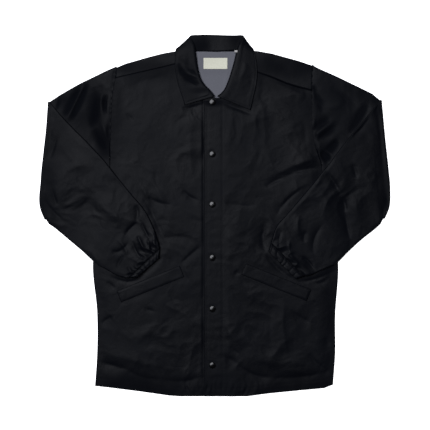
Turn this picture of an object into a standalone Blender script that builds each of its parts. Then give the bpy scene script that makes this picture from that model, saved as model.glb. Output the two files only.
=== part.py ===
"""Coach jacket of thin black nylon, laid flat on its back with both sleeves folded in over the front.

The garment lies on z = 0, the collar points to +Y and the open side faces +Z. The origin is on the
underside of the back, under the line of snaps. Left and right are the wearer's. Tables are in
millimetres, as read off the laid-out jacket; the meshes are in metres.
"""

import math

import bpy
import numpy as np
from mathutils import Vector
from mathutils.bvhtree import BVHTree

for old in list(bpy.data.objects):
    bpy.data.objects.remove(old)

# Walls and clearances, millimetres
MM = 0.001
CLOTH = 1.2
LINING = 1.0
LABEL = 0.8
GAP = 0.35
SEAM = 0.8
ARMHOLE_LAP = 3.0
ARMHOLE_RISE = CLOTH + 2 * GAP

# Levels of the middle of each wall above the ground, millimetres
BACK_LEVEL = CLOTH / 2
SIDE_LEVEL = BACK_LEVEL + CLOTH + GAP
FRONT_LEVEL = 5.0
SHOULDER_LEVEL = 5.4
OVERLAP_RISE = CLOTH + 0.5
NECK_RISE = 2.0
NECK_CENTRE = 6.0
TURN_REACH = 3.0

# Snaps
SNAP_X = 0.0
SNAP_Y = (267, 145, 27, -98, -218, -350)
SNAP_RADIUS = 7.5
SNAP_HEIGHT = 3.2
SNAP_SIDES = 14

# Sleeves and cuffs
SLEEVE_AROUND = 16
SLEEVE_HEAD_HALF = (FRONT_LEVEL + CLOTH + GAP + 0.3 - BACK_LEVEL) / 2
FOREARM_HALF = 2.5
WRIST_HALF = 3.7
FOLD_HALF = 1.4
UPPER_HALVES = (2.9, 2.2, 2.2, FOLD_HALF)  # half thickness of the rings beyond the armhole
UPPER_BOWS = (0.7, 0.3, 0, 0)  # how much these rings follow the armhole's curve
OUTWARD = {"right": -1, "left": 1}
CUFF_RINGS = ((0, 3.7), (0.25, 3.1), (0.55, 3.9), (0.85, 3.6), (1, 3.0))  # share of the band, half thickness
CUFF_WAVES = 8
CUFF_WAVE_HEIGHT = 1.1

# Edge where a forward shoulder seam and the fold above it lie. Rows run from the armhole to the neck.
SHOULDER = {  # seam_x, seam_y, fold_x, fold_y
    "right": (
        (-229, 324, -227, 347),
        (-199, 331, -205, 357),
        (-172, 337, -177, 365),
        (-145, 343, -149, 373),
        (-115, 350, -118, 381),
        (-88, 357, -90, 386),
        (-63, 362, -60, 386),
    ),
    "left": (
        (234, 294, 236, 352),
        (205, 301, 205, 363),
        (175, 310, 176, 371),
        (135, 327, 140, 381),
        (102, 338, 106, 387),
        (79, 349, 68, 388),
    ),
}
# Neck edge of each front from the shoulder seam to the opening edge
FRONT_NECK = {  # x, y
    "right": ((-55, 340), (-45, 317), (-32, 297), (-18, 286), (-2, 279), (12, 277), (24, 276)),
    "left": ((68, 330), (56, 305), (42, 287), (28, 277), (12, 271), (-4, 269), (-20, 269)),
}
BACK_NECK = ((-42, 391), (-22, 386), (10, 383), (34, 386), (50, 390))  # x, y
# Side seam from the hem to the underarm, then the armhole from there to the shoulder
SIDE_SEAM = {  # y, x
    "right": ((-400, -276), (-324, -271), (-226, -271), (-113, -281), (0, -266), (132, -241)),
    "left": ((-396, 283), (-324, 288), (-240, 288), (-108, 295), (0, 281), (120, 257)),
}
ARMHOLE = {  # y, x
    "right": ((132, -241), (180, -241), (232, -240), (284, -236), (324, -229), (347, -227)),
    "left": ((120, 257), (160, 243), (200, 236), (250, 235), (294, 234), (352, 236)),
}
HEM = (  # x, y
    (-276, -399), (-246, -402), (-175, -411), (-105, -421), (-76, -423), (79, -423),
    (135, -416), (206, -409), (262, -404), (283, -396),
)
# Rows of the body's cloth, as shares of the way up to the underarm and from there to the top
FRONT_ROWS = (
    (0, 0.016, 0.04, 0.07, 0.1, 0.135, 0.18, 0.23, 0.29, 0.36, 0.43, 0.5, 0.57, 0.64, 0.71, 0.78, 0.84, 0.89, 0.94, 1),
    (0.11, 0.22, 0.34, 0.46, 0.58, 0.69, 0.8, 0.9, 1),
)
BACK_ROWS = ((0, 0.03, 0.1, 0.2, 0.35, 0.5, 0.65, 0.8, 0.92, 1), (0.11, 0.22, 0.46, 0.69, 0.85, 0.93, 1))
LONGEST_STEP = 17

# Soft folds: troughs are below the cloth and ridges above it
FRONT_FOLDS = {  # x1, y1, x2, y2, half_width, height
    "right": (
        (-228, 300, -216, 225, 22, 3.4),
        (-185, 300, -150, 220, 26, -1.4),
        (-120, 330, -80, 250, 30, 2.0),
        (-152, 60, -40, 32, 16, -1.9),
        (-140, 80, -40, 55, 18, 2.6),
        (-90, -30, -30, -130, 28, 1.8),
        (-262, -256, -200, -228, 20, -1.8),
        (-240, -300, -120, -290, 34, 2.0),
        (-256, -350, -185, -358, 20, -2.2),
        (-185, -358, -140, -380, 20, -2.4),
        (-140, -380, -20, -372, 18, -2.1),
    ),
    "left": (
        (100, 322, 222, 282, 20, -2.1),
        (90, 300, 226, 258, 26, 3.1),
        (262, 132, 120, 88, 16, 4.1),
        (257, 112, 122, 68, 14, -2.4),
        (60, 200, 190, 180, 34, 1.5),
        (110, 30, 40, 20, 20, -1.3),
        (13, -256, 62, -322, 16, -1.9),
        (40, -262, 90, -330, 20, 2.6),
        (224, -318, 266, -362, 18, 3.1),
        (-6, -342, 80, -368, 18, -2.2),
        (80, -368, 190, -378, 18, -2.4),
        (190, -378, 266, -368, 18, -1.9),
    ),
}

# Sleeves: the upper arm runs out from the armhole to a fold, and the forearm lies back over it.
# The top edge of the upper arm and its lower edge, from the armhole to the fold
UPPER_ARM = {  # top_x, top_y, low_x, low_y
    "right": ((-246, 343, -262, 116), (-274, 329, -290, 95), (-316, 308, -330, 65), (-358, 284, -372, 34)),
    "left": ((248, 348, 275, 106), (290, 329, 300, 90), (332, 308, 340, 66), (375, 287, 380, 36)),
}
FOLD_EDGE = {  # y, x of the fold, seen as the outer edge
    "right": ((-8, -394), (14, -403), (85, -403), (155, -396), (200, -391), (268, -386)),
    "left": ((-6, 404), (18, 414), (60, 417), (110, 413), (175, 406), (272, 397)),
}
# The forearm's upper and lower edges from the fold to the cuff
FOREARM = {  # up_x, up_y, low_x, low_y
    "right": (
        (-362, 243, -384, -18), (-332, 211, -366, -31), (-294, 173, -334, -58), (-255, 131, -303, -84),
        (-220, 87, -273, -111), (-187, 47, -247, -126), (-160, 15, -226, -138), (-142, -18, -211, -143),
        (-130, -49, -203, -145), (-123, -74, -197, -144),
    ),
    "left": (
        (374, 247, 394, -18), (344, 212, 379, -32), (308, 168, 350, -55), (270, 118, 319, -83),
        (236, 76, 291, -110), (203, 37, 268, -121), (174, 3, 248, -130), (153, -20, 235, -136),
        (143, -42, 224, -139), (137, -62, 215, -141),
    ),
}
CUFF_EDGE = {"right": (-125, -98, -178, -144), "left": (131, -82, 196, -147)}
SLEEVE_FOLDS = {  # x1, y1, x2, y2, half_width, height
    "right": (
        (-262, 318, -272, 240, 20, 3.8),
        (-284, 318, -292, 228, 14, -2.0),
        (-300, 304, -318, 214, 16, 4.9),
        (-318, 300, -338, 222, 13, -2.3),
        (-338, 290, -356, 232, 15, 5.1),
    ),
    "left": (
        (358, 262, 276, 238, 16, 5.4),
        (352, 246, 222, 190, 14, -2.2),
        (330, 214, 232, 168, 16, 4.3),
        (270, 190, 300, 160, 12, -2.0),
        (262, 330, 300, 270, 20, 2.7),
    ),
}
FOREARM_FOLDS = {  # x1, y1, x2, y2, half_width, height
    "right": (
        (-362, 192, -384, 130, 16, -1.9),
        (-345, 180, -360, 100, 22, 3.6),
        (-358, 84, -274, 112, 22, 3.4),
        (-372, 44, -300, 58, 18, -1.8),
        (-396, 40, -346, -16, 16, -2.2),
        (-300, 20, -240, -60, 30, 3.1),
        (-210, -48, -174, -14, 14, -2.9),
        (-224, -30, -190, 0, 14, 4.6),
        (-176, -40, -152, -84, 12, 5.1),
        (-260, -86, -205, -78, 12, -2.4),
        (-225, -92, -238, -120, 10, -2.2),
    ),
    "left": (
        (402, 76, 397, 14, 16, -2.7),
        (374, 120, 384, 60, 24, 3.8),
        (262, 100, 296, 30, 14, -2.7),
        (296, 30, 314, -44, 16, -2.9),
        (276, 110, 312, 40, 16, 4.3),
        (330, 40, 338, -50, 30, 3.1),
        (219, -36, 217, -62, 12, -2.9),
        (258, -22, 238, -60, 14, -2.7),
        (238, -60, 238, -90, 12, -2.4),
        (240, -10, 222, -50, 12, 4.6),
        (168, -34, 156, -74, 10, -2.4),
        (186, -30, 184, -70, 12, 4.1),
    ),
}

# Collar, one strip from the wearer's right end round the back of the neck to the left end
COLLAR = (  # seam_x, seam_y, roll_x, roll_y, edge_x, edge_y, side
    (-3, 281, 6, 281, -65, 260, "front"),
    (-16, 287, -4, 294, -69, 273, "front"),
    (-30, 298, -18, 307, -76, 293, "front"),
    (-44, 318, -28, 323, -83, 316, "front"),
    (-53, 340, -34, 346, -88, 345, "front"),
    (-57, 362, -38, 378, -88, 369, "front"),
    (-52, 374, -41, 401, -88, 384, "front"),
    (-48, 388, -54, 423, -85, 395, "corner"),
    (-41, 388, -46, 425, -72, 391, "back"),
    (-33, 387, -36, 425, -54, 379, "back"),
    (-20, 384, -18, 426, -26, 369, "back"),
    (9, 381, 10, 425, 9, 367, "back"),
    (36, 384, 40, 424, 46, 369, "back"),
    (48, 388, 58, 424, 66, 382, "back"),
    (57, 389, 66, 425, 82, 392, "back"),
    (66, 388, 75, 423, 94, 396, "corner"),
    (66, 373, 61, 403, 99, 384, "front"),
    (69, 358, 55, 381, 104, 358, "front"),
    (69, 340, 48, 352, 106, 330, "front"),
    (61, 318, 38, 320, 103, 305, "front"),
    (48, 299, 29, 298, 98, 284, "front"),
    (33, 285, 20, 287, 94, 266, "front"),
    (18, 276, 11, 281, 90, 248, "front"),
)
COLLAR_LEVELS = {  # at_seam, near_roll, roll, fall, fall_edge
    "front": (7.1, 7.0, 8.4, 9.8, 8.2),
    "corner": (5.4, 4.3, 4.3, 4.3, 4.3),
    "back": (4.3, 3.1, 1.85, BACK_LEVEL, BACK_LEVEL),
}
COLLAR_COLUMNS = 45
COLLAR_CLOTH = 1.0
ROLL_DEPTH = 4.0

# Pocket welts: the corner nearest the side seam, then the direction and size of the slanted strip
WELT = {  # x, y of the outer lower corner, angle in degrees, length, depth
    "right": (-214, -202, 22.0, 159, 28),
    "left": (221, -199, 158, 165, 28),
}
WELT_STEPS = 10

# Lining seen in the neck, the bare label on it and the small tab beside it
LINING_ROWS = ((266, -14, 24), (290, -38, 48), (318, -54, 62), (342, -58, 66), (362, -50, 54), (378, -36, 42))
LABEL_CORNERS = ((-21, 345), (35, 345), (35, 371), (-21, 371))
TAB_CORNERS = ((43, 389), (50, 389), (50, 394), (43, 394))


def smooth(value):
    """Goes softly from 0 to 1."""
    value = np.clip(value, 0, 1)
    return value * value * (3 - 2 * value)


def through(at, places, values):
    """A smooth curve that passes through the values at the given places."""
    places, values = np.asarray(places, float), np.asarray(values, float)
    slopes = np.gradient(values, places, axis=0)
    at = float(np.clip(at, places[0], places[-1]))
    i = int(np.clip(np.searchsorted(places, at, side="right") - 1, 0, len(places) - 2))
    span = places[i + 1] - places[i]
    t = (at - places[i]) / span
    start = (2 * t**3 - 3 * t**2 + 1) * values[i] + (t**3 - 2 * t**2 + t) * span * slopes[i]
    end = (3 * t**2 - 2 * t**3) * values[i + 1] + (t**3 - t**2) * span * slopes[i + 1]
    return start + end


def read(table, at):
    """A straight-sided outline read at one place; the table's first column rises."""
    return float(np.interp(at, [row[0] for row in table], [row[1] for row in table]))


def edge_x(side, y):
    """Where the side seam and the armhole of one half run."""
    if y <= SIDE_SEAM[side][-1][0]:
        return float(through(y, *zip(*SIDE_SEAM[side])))
    return read(ARMHOLE[side], y)


def fold_height(x, y, folds):
    """The sum of the soft troughs and ridges at one place."""
    total = 0.0
    for x1, y1, x2, y2, half_width, height in folds:
        along = np.array((x2 - x1, y2 - y1), float)
        length = np.hypot(*along)
        share = np.dot((x - x1, y - y1), along) / length**2
        nearest = np.clip(share, 0, 1)
        away = math.hypot(x - x1 - nearest * along[0], y - y1 - nearest * along[1])
        taper = 0.45 + 0.55 * math.sin(math.pi * nearest)
        total += height * taper * math.exp(-((away / half_width) ** 2) * 1.6)
    return total


def neck_rise(x, y):
    """How far the back is lifted by the collar that is tucked under it."""
    across = smooth((114 - abs(x - NECK_CENTRE)) / 22)
    return NECK_RISE * smooth((y - 336) / 22) * across


def near_snap(x, y):
    """1 under a snap, where the cloth is held flat, and 0 away from it."""
    away = min(math.hypot(x - SNAP_X, y - snap_y) for snap_y in SNAP_Y)
    return smooth((26 - away) / 12)


def near_welt(side, x, y):
    """1 under a pocket welt, where the cloth is doubled and flat."""
    corner_x, corner_y, angle, length, depth = WELT[side]
    direction = 1 if side == "right" else -1
    turn = math.radians(angle if side == "right" else 180 - angle)
    away_x, away_y = (x - corner_x) * direction, y - corner_y
    along = away_x * math.cos(turn) + away_y * math.sin(turn)
    across = -away_x * math.sin(turn) + away_y * math.cos(turn)
    outside = max(-along, along - length, -across, across - depth, 0)
    return smooth((22 - outside) / 18)


def back_height(x, y):
    """Middle of the back's cloth above the ground, raised over the collar and over the sleeve seams."""
    level = BACK_LEVEL + neck_rise(x, y)
    for side in ("right", "left"):
        inside = abs(x - edge_x(side, y))
        above = y - SIDE_SEAM[side][-1][0]
        level = max(level, BACK_LEVEL + ARMHOLE_RISE * smooth((17 - inside) / 11) * smooth((above - 6) / 30))
    return level


def front_height(side, x, y):
    """Middle of a front's cloth above the ground."""
    inside = abs(x - edge_x(side, y))
    underarm = SIDE_SEAM[side][-1][0]
    edge_level = SIDE_LEVEL + (FRONT_LEVEL - SIDE_LEVEL) * smooth((y - underarm + 20) / 50)
    level = edge_level + (FRONT_LEVEL - edge_level) * smooth(inside / 42)
    level += (SHOULDER_LEVEL - FRONT_LEVEL) * smooth((y - 230) / 60)
    hem_y = read(HEM, x)
    level = min(level, SIDE_LEVEL + 0.9 + (level - SIDE_LEVEL) * smooth((y - hem_y) / 50 + 0.25))
    if side == "left":
        level += OVERLAP_RISE * smooth((54 - x) / 20)
    plain = max(near_snap(x, y), near_welt(side, x, y), smooth((36 - inside) / 26))
    plain = max(plain, smooth((50 - x) / 12) * smooth((x + 28) / 8))
    plain = max(plain, smooth((126 - abs(x - NECK_CENTRE)) / 18) * smooth((y - 232) / 15))
    return level + fold_height(x, y, FRONT_FOLDS[side]) * (1 - plain)


def finish(name, mesh, material):
    """Links a piece with its material and soft shading."""
    piece = bpy.data.objects.new(name, mesh)
    bpy.context.scene.collection.objects.link(piece)
    mesh.materials.append(material)
    mesh.shade_smooth()
    mesh.set_sharp_from_angle(angle=math.radians(40))
    return piece


def wall(name, points, material, thickness=CLOTH, closed=False, skip=()):
    """A cloth wall around a grid of points in millimetres. A closed grid's rows are rings."""
    rows, columns = points.shape[:2]
    steps = columns if closed else columns - 1
    faces = []
    for i in range(rows - 1):
        for j in range(steps):
            if (i, j) not in skip:
                k = (j + 1) % columns
                faces.append((i * columns + j, i * columns + k, (i + 1) * columns + k, (i + 1) * columns + j))
    used = sorted({corner for face in faces for corner in face})
    place = {old_index: new_index for new_index, old_index in enumerate(used)}
    flat = points.reshape(-1, 3) * MM
    mesh = bpy.data.meshes.new(name)
    mesh.from_pydata([flat[i] for i in used], [], [[place[i] for i in face] for face in faces])
    piece = finish(name, mesh, material)
    shell = piece.modifiers.new("Cloth", "SOLIDIFY")
    shell.thickness = thickness * MM
    shell.offset = 0
    return piece


def surface_of(*pieces):
    """Search trees of finished pieces, with their walls."""
    graph = bpy.context.evaluated_depsgraph_get()
    return [BVHTree.FromObject(piece, graph) for piece in pieces]


def top_of(trees, x, y):
    """Height of the highest cloth at one place, millimetres."""
    high = 0.0
    for tree in trees:
        hit = tree.ray_cast(Vector((x * MM, y * MM, 0.2)), Vector((0, 0, -1)))[0]
        if hit is not None:
            high = max(high, hit.z / MM)
    return high


def rest_on(trees, x, y, spread):
    """Height at which a piece's underside lies clear of all that is below it."""
    around = ((0, 0), (spread, 0), (-spread, 0), (0, spread), (0, -spread))
    return GAP + max(top_of(trees, x + dx, y + dy) for dx, dy in around)


class Support:
    """Heights of what lies below, spread and softened, so that cloth on top of it keeps clear."""

    CELL, SPREAD, BLUR = 6.0, 6, 3
    LOW, HIGH = (-450.0, -450.0), (450.0, 450.0)

    def __init__(self, trees):
        self.x = np.arange(self.LOW[0], self.HIGH[0], self.CELL)
        self.y = np.arange(self.LOW[1], self.HIGH[1], self.CELL)
        heights = np.array([[top_of(trees, x, y) for y in self.y] for x in self.x])
        heights = self.window(heights, self.SPREAD, np.max)
        self.heights = self.window(heights, self.BLUR, np.mean)

    @staticmethod
    def window(heights, reach, rule):
        shifts = range(-reach, reach + 1)
        stack = [np.roll(heights, (i, j), (0, 1)) for i in shifts for j in shifts if i * i + j * j <= reach**2 + 1]
        return rule(stack, axis=0)

    def at(self, x, y):
        i = np.clip((x - self.x[0]) / self.CELL, 0, len(self.x) - 1.001)
        j = np.clip((y - self.y[0]) / self.CELL, 0, len(self.y) - 1.001)
        a, b = int(i), int(j)
        u, v = i - a, j - b
        h = self.heights
        near = h[a, b] * (1 - v) + h[a, b + 1] * v
        far = h[a + 1, b] * (1 - v) + h[a + 1, b + 1] * v
        return near * (1 - u) + far * u


def cloth_material(name, colour, roughness):
    """Principled material with the colour of one kind of cloth or plastic."""
    material = bpy.data.materials.new(name)
    material.use_nodes = True
    shader = material.node_tree.nodes["Principled BSDF"]
    shader.inputs["Base Color"].default_value = (*colour, 1)
    shader.inputs["Roughness"].default_value = roughness
    shader.inputs["Metallic"].default_value = 0
    return material


SHELL = cloth_material("shell_nylon", (0.011, 0.012, 0.014), 0.5)
LINING_CLOTH = cloth_material("lining_twill", (0.11, 0.125, 0.15), 0.7)
LABEL_CLOTH = cloth_material("label_woven", (0.58, 0.57, 0.52), 0.8)
SNAP_PLASTIC = cloth_material("snap_gloss", (0.006, 0.006, 0.007), 0.15)


def body_grid(hem, top, side_edges, row_table):
    """Plan places of a body panel. hem and top are matching rows of x, y from one side to the other.

    side_edges gives the sides whose seam and armhole the first and last columns follow.
    """
    hem, top = np.array(hem, float), np.array(top, float)
    shares = np.linspace(0, 1, len(top))
    rows = []
    for share in row_shares(side_edges, hem, top, row_table):
        row = hem + (top - hem) * share
        for side, column in side_edges:
            weight = shares if column else 1 - shares
            row[:, 0] += weight**1.5 * (edge_x(side, row[column, 1]) - row[column, 0])
        rows.append(row)
    return np.array(rows)


def row_shares(side_edges, hem, top, row_table):
    """Shares of the way from hem to top, with one row at the underarm."""
    side, column = side_edges[0]
    underarm = (SIDE_SEAM[side][-1][0] - hem[column, 1]) / (top[column, 1] - hem[column, 1])
    skirt, chest = row_table
    return [share * underarm for share in skirt] + [underarm + share * (1 - underarm) for share in chest]


def refined(outline, longest):
    """The outline with even steps added along its long straight stretches."""
    points = [outline[0]]
    for start, end in zip(outline, outline[1:]):
        count = max(1, math.ceil(math.dist(start, end) / longest - 0.5))
        for k in range(1, count + 1):
            points.append(tuple(a + (b - a) * k / count for a, b in zip(start, end)))
    return points


def hem_row(start, end, shares):
    """Places along the hem from one edge of a panel to the other."""
    return [(x, read(HEM, x)) for x in start + np.asarray(shares) * (end - start)]


def build_back():
    """Back, which wraps forward over both shoulders and ends at the neck between them."""
    right, left = SHOULDER["right"], SHOULDER["left"]
    top = [(row[2], row[3]) for row in right] + list(BACK_NECK) + [(row[2], row[3]) for row in reversed(left)]
    seam = [(row[0], row[1]) for row in right] + list(BACK_NECK) + [(row[0], row[1]) for row in reversed(left)]
    top_y = [y for _, y in top]
    hem = hem_row(HEM[0][0], HEM[-1][0], np.linspace(0, 1, len(top)))
    plan = body_grid(hem, [(x, y - TURN_REACH) for x, y in top], (("right", 0), ("left", -1)), BACK_ROWS)
    points = [[(x, y, back_height(x, y)) for x, y in row] for row in plan]
    last = plan[-1]
    turn = []
    for angle in (45, 90, 135, 180):
        ring = []
        for j, (x, y) in enumerate(last):
            low = back_height(x, y)
            radius = (SHOULDER_LEVEL - low) / 2
            out = (top_y[j] - y) * math.sin(math.radians(angle))
            ring.append((top[j][0], y + out, low + radius * (1 - math.cos(math.radians(angle)))))
        turn.append(ring)
    wraps = []
    for share in (0.45, 1):
        ring = []
        for j, (x, y) in enumerate(last):
            start_x, start_y = top[j][0], y
            end_x, end_y = seam[j][0], seam[j][1] + GAP / 2
            ring.append((start_x + (end_x - start_x) * share, start_y + (end_y - start_y) * share, SHOULDER_LEVEL))
        wraps.append(ring)
    points = np.array(points + turn + wraps)
    first_turn = len(plan) - 1
    neck = range(len(right) - 1, len(right) + len(BACK_NECK))
    skip = {(i, j) for i in range(first_turn, len(points) - 1) for j in neck}
    return wall("back", points, SHELL, skip=skip)


def build_front(side):
    """One front, from the opening edge to the side seam and the armhole."""
    neck = list(reversed(FRONT_NECK[side]))
    seam = [(x, y) for x, y, _, _ in reversed(SHOULDER[side])]
    top = neck + refined([(x, y - GAP / 2) for x, y in seam], LONGEST_STEP)
    top_x = np.array([x for x, _ in top])
    hem = hem_row(top_x[0], SIDE_SEAM[side][0][1], (top_x - top_x[0]) / (top_x[-1] - top_x[0]))
    plan = body_grid(hem, top, ((side, -1),), FRONT_ROWS)
    points = np.array([[(x, y, front_height(side, x, y)) for x, y in row] for row in plan])
    return wall(f"front_{side}", points, SHELL)


def build_lining(below):
    """Lining of the back, as far as the neck opening shows it."""
    trees = surface_of(below)
    rows = []
    lows = [row[0] for row in LINING_ROWS]
    for y in np.linspace(lows[0], lows[-1], 10):
        left_x = through(y, lows, [row[1] for row in LINING_ROWS])
        right_x = through(y, lows, [row[2] for row in LINING_ROWS])
        xs = np.linspace(left_x, right_x, 8)
        rows.append([(x, y, rest_on(trees, x, y, 5) + LINING / 2) for x in xs])
    return wall("back_lining", np.array(rows), LINING_CLOTH, LINING)


def build_patch(name, corners, below, material, thickness, steps):
    """A small flat piece on top of another, set square on what it is sewn to."""
    (x0, y0), _, (x1, y1), _ = corners
    trees = surface_of(below)
    rows = []
    for y in np.linspace(y0, y1, steps[1]):
        rows.append([(x, y, rest_on(trees, x, y, 2) + thickness / 2) for x in np.linspace(x0, x1, steps[0])])
    return wall(name, np.array(rows), material, thickness)


def build_collar():
    """Collar in one strip: stand, roll line and fall. Its fall lies on the fronts and under the back."""
    places = np.arange(len(COLLAR), dtype=float)
    plan = np.array([row[:6] for row in COLLAR], float)
    levels = np.array([COLLAR_LEVELS[row[6]] for row in COLLAR])
    columns = []
    for at in np.linspace(0, len(COLLAR) - 1, COLLAR_COLUMNS):
        seam_x, seam_y, roll_x, roll_y, end_x, end_y = (np.interp(at, places, row) for row in plan.T)
        height = [np.interp(at, places, levels[:, k]) for k in range(5)]
        seam, roll, end = (np.array(p) for p in ((seam_x, seam_y), (roll_x, roll_y), (end_x, end_y)))
        stand = (seam - roll) / np.hypot(*(seam - roll))
        fall = (end - roll) / np.hypot(*(end - roll))
        column = [
            (*seam, height[0]),
            (*(seam * 0.5 + roll * 0.5), height[0] * 0.5 + height[1] * 0.5),
            (*(roll + stand * ROLL_DEPTH), height[1]),
            (*roll, height[2]),
            (*(roll + fall * ROLL_DEPTH), height[3]),
            (*(roll * 0.67 + end * 0.33), height[3]),
            (*(roll * 0.33 + end * 0.67), height[3] * 0.5 + height[4] * 0.5),
            (*end, height[4]),
        ]
        columns.append(column)
    return wall("collar", np.array(columns), SHELL, COLLAR_CLOTH)


def build_welt(side, below):
    """Slanted pocket welt on a front."""
    corner_x, corner_y, angle, length, depth = WELT[side]
    turn = math.radians(angle)
    along = np.array((math.cos(turn), math.sin(turn)))
    across = np.array((-along[1], along[0])) * (1 if side == "right" else -1)
    trees = surface_of(below)
    rows = []
    for share in (0, 0.5, 1):
        row = []
        for step in np.linspace(0, length, WELT_STEPS):
            x, y = np.array((corner_x, corner_y)) + along * step + across * depth * share
            row.append((x, y, rest_on(trees, x, y, 3) + CLOTH / 2))
        rows.append(row)
    return wall(f"welt_{side}", np.array(rows), SHELL)


def build_snap(number, y, below):
    """Domed snap cap on the outer front."""
    trees = surface_of(below)
    rim = [(SNAP_RADIUS * math.cos(a), SNAP_RADIUS * math.sin(a)) for a in np.linspace(0, 2 * math.pi, 9)]
    base = max(top_of(trees, SNAP_X + dx * share, y + dy * share) for dx, dy in rim for share in (0, 0.5, 1))
    base += GAP
    profile = ((0.94, 0), (1, 0.3), (0.9, 0.62), (0.6, 0.9))  # share of the radius, share of the height
    points, faces = [], []
    for radius, height in profile:
        for k in range(SNAP_SIDES):
            a = 2 * math.pi * k / SNAP_SIDES
            points.append((
                (SNAP_X + SNAP_RADIUS * radius * math.cos(a)) * MM,
                (y + SNAP_RADIUS * radius * math.sin(a)) * MM,
                (base + SNAP_HEIGHT * height) * MM,
            ))
    points += [(SNAP_X * MM, y * MM, base * MM), (SNAP_X * MM, y * MM, (base + SNAP_HEIGHT) * MM)]
    bottom, crown = len(points) - 2, len(points) - 1
    for k in range(SNAP_SIDES):
        n = (k + 1) % SNAP_SIDES
        faces.append((bottom, n, k))
        for ring in range(len(profile) - 1):
            low, high = ring * SNAP_SIDES, (ring + 1) * SNAP_SIDES
            faces.append((low + k, low + n, high + n, high + k))
        last = (len(profile) - 1) * SNAP_SIDES
        faces.append((last + k, last + n, crown))
    mesh = bpy.data.meshes.new(f"snap_{number}")
    mesh.from_pydata(points, [], faces)
    return finish(f"snap_{number}", mesh, SNAP_PLASTIC)


def cross_shares(width, half):
    """Shares across a flattened tube, closer together at its two rounded edges."""
    near = np.array((0, 0.3 * half, 1.0 * half)) / width
    inner = np.linspace(near[-1], 1 - near[-1], SLEEVE_AROUND - 3)[1:-1]
    return np.concatenate([near, inner, (1 - near)[::-1]])


def half_height(distance, half):
    """Half the height of a flattened tube this far in from its rounded edge."""
    return half * math.sqrt(max(0.0, 1 - (1 - min(distance / half, 1)) ** 2))


def flat_ring(start, end, half, low_level, relief=None, bow=None):
    """One ring of a flattened tube: over the top from start to end, and back along the bottom.

    low_level gives the ground under it, relief the folds of its top and bow its bend sideways.
    """
    start, end = np.array(start, float), np.array(end, float)
    width = np.hypot(*(end - start))
    shares = cross_shares(width, half)
    top, bottom = [], []
    for share in shares:
        x, y = start + (end - start) * share
        if bow is not None:
            x += bow(y)
        inside = min(share, 1 - share) * width
        low = low_level(x, y)
        rise = half_height(inside, half)
        folds = relief(x, y) * smooth(inside / 22) if relief else 0
        top.append((x, y, low + half + rise + folds))
        bottom.append((x, y, low + half - rise))
    return top[:-1] + bottom[:0:-1]


def armhole_bow(side, strength, lap):
    """How far a sleeve ring bends sideways to follow the armhole, by the height up the body."""
    armhole = ARMHOLE[side]
    (low_y, low_x), (top_y, top_x) = armhole[0], armhole[-1]
    out = OUTWARD[side]

    def bow(y):
        straight = low_x + (top_x - low_x) * (y - low_y) / (top_y - low_y)
        over_seam = out * lap * smooth((y - low_y - 30) / 25)
        return strength * (read(armhole, y) - straight - over_seam)

    return bow


def upper_rings(side):
    """Rings of the upper arm, from the armhole out to the fold. It lies flat on the ground."""
    armhole = ARMHOLE[side]
    (low_y, low_x), (top_y, top_x) = armhole[0], armhole[-1]
    out = OUTWARD[side]
    forearm_edge = sorted((row[0], row[1]) for row in FOREARM[side])

    def ground(x, y):
        return BACK_LEVEL

    def head_relief(x, y):
        return 0.3 * smooth((y - 230) / 60)

    def relief(x, y):
        above_forearm = y - read(forearm_edge, x)
        outside = smooth(abs(x - edge_x(side, y)) / 18)
        return fold_height(x, y, SLEEVE_FOLDS[side]) * smooth((above_forearm - 4) / 16) * outside

    head_top, head_low = (top_x + out * SEAM, top_y + 4), (low_x + out * SEAM, low_y + 2)
    rings = [flat_ring(head_top, head_low, SLEEVE_HEAD_HALF, ground, head_relief, armhole_bow(side, 1, ARMHOLE_LAP))]
    for (x1, y1, x2, y2), half, strength in zip(UPPER_ARM[side], UPPER_HALVES, UPPER_BOWS):
        rings.append(flat_ring((x1, y1), (x2, y2), half, ground, relief, armhole_bow(side, strength, ARMHOLE_LAP)))
    return rings


def fold_rings(side):
    """Rings of the half turn at the sleeve's fold, from the upper arm over to the forearm."""
    out = OUTWARD[side]
    ys, xs = zip(*FOLD_EDGE[side])
    upper_middle = BACK_LEVEL + FOLD_HALF
    radius = FOLD_HALF + (CLOTH + GAP + 0.5) / 2
    rings = []
    for angle in (0, 45, 90, 135, 180):
        turn = math.radians(angle)
        top, bottom = [], []
        for share in cross_shares(ys[-1] - ys[0], FOLD_HALF):
            y = ys[-1] + (ys[0] - ys[-1]) * share
            rise = half_height(min(share, 1 - share) * (ys[-1] - ys[0]), FOLD_HALF)
            axis_x = float(through(y, ys, xs)) - out * (radius + FOLD_HALF)
            axis_z = upper_middle + radius
            for distance, row in ((radius - rise, top), (radius + rise, bottom)):
                row.append((axis_x + out * distance * math.sin(turn), y, axis_z - distance * math.cos(turn)))
        rings.append(top[:-1] + bottom[:0:-1])
    return rings


def fold_flap(side):
    """Search tree of a strip at the upper arm's top beside the fold, on which the forearm lies."""
    rows = [(x, y, BACK_LEVEL + 2 * FOLD_HALF) for y, x in FOLD_EDGE[side]]
    inner = [(x - OUTWARD[side] * 30, y, z) for x, y, z in rows]
    faces = [(i, i + 1, len(rows) + i + 1, len(rows) + i) for i in range(len(rows) - 1)]
    return BVHTree.FromPolygons([tuple(value * MM for value in corner) for corner in rows + inner], faces)


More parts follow.
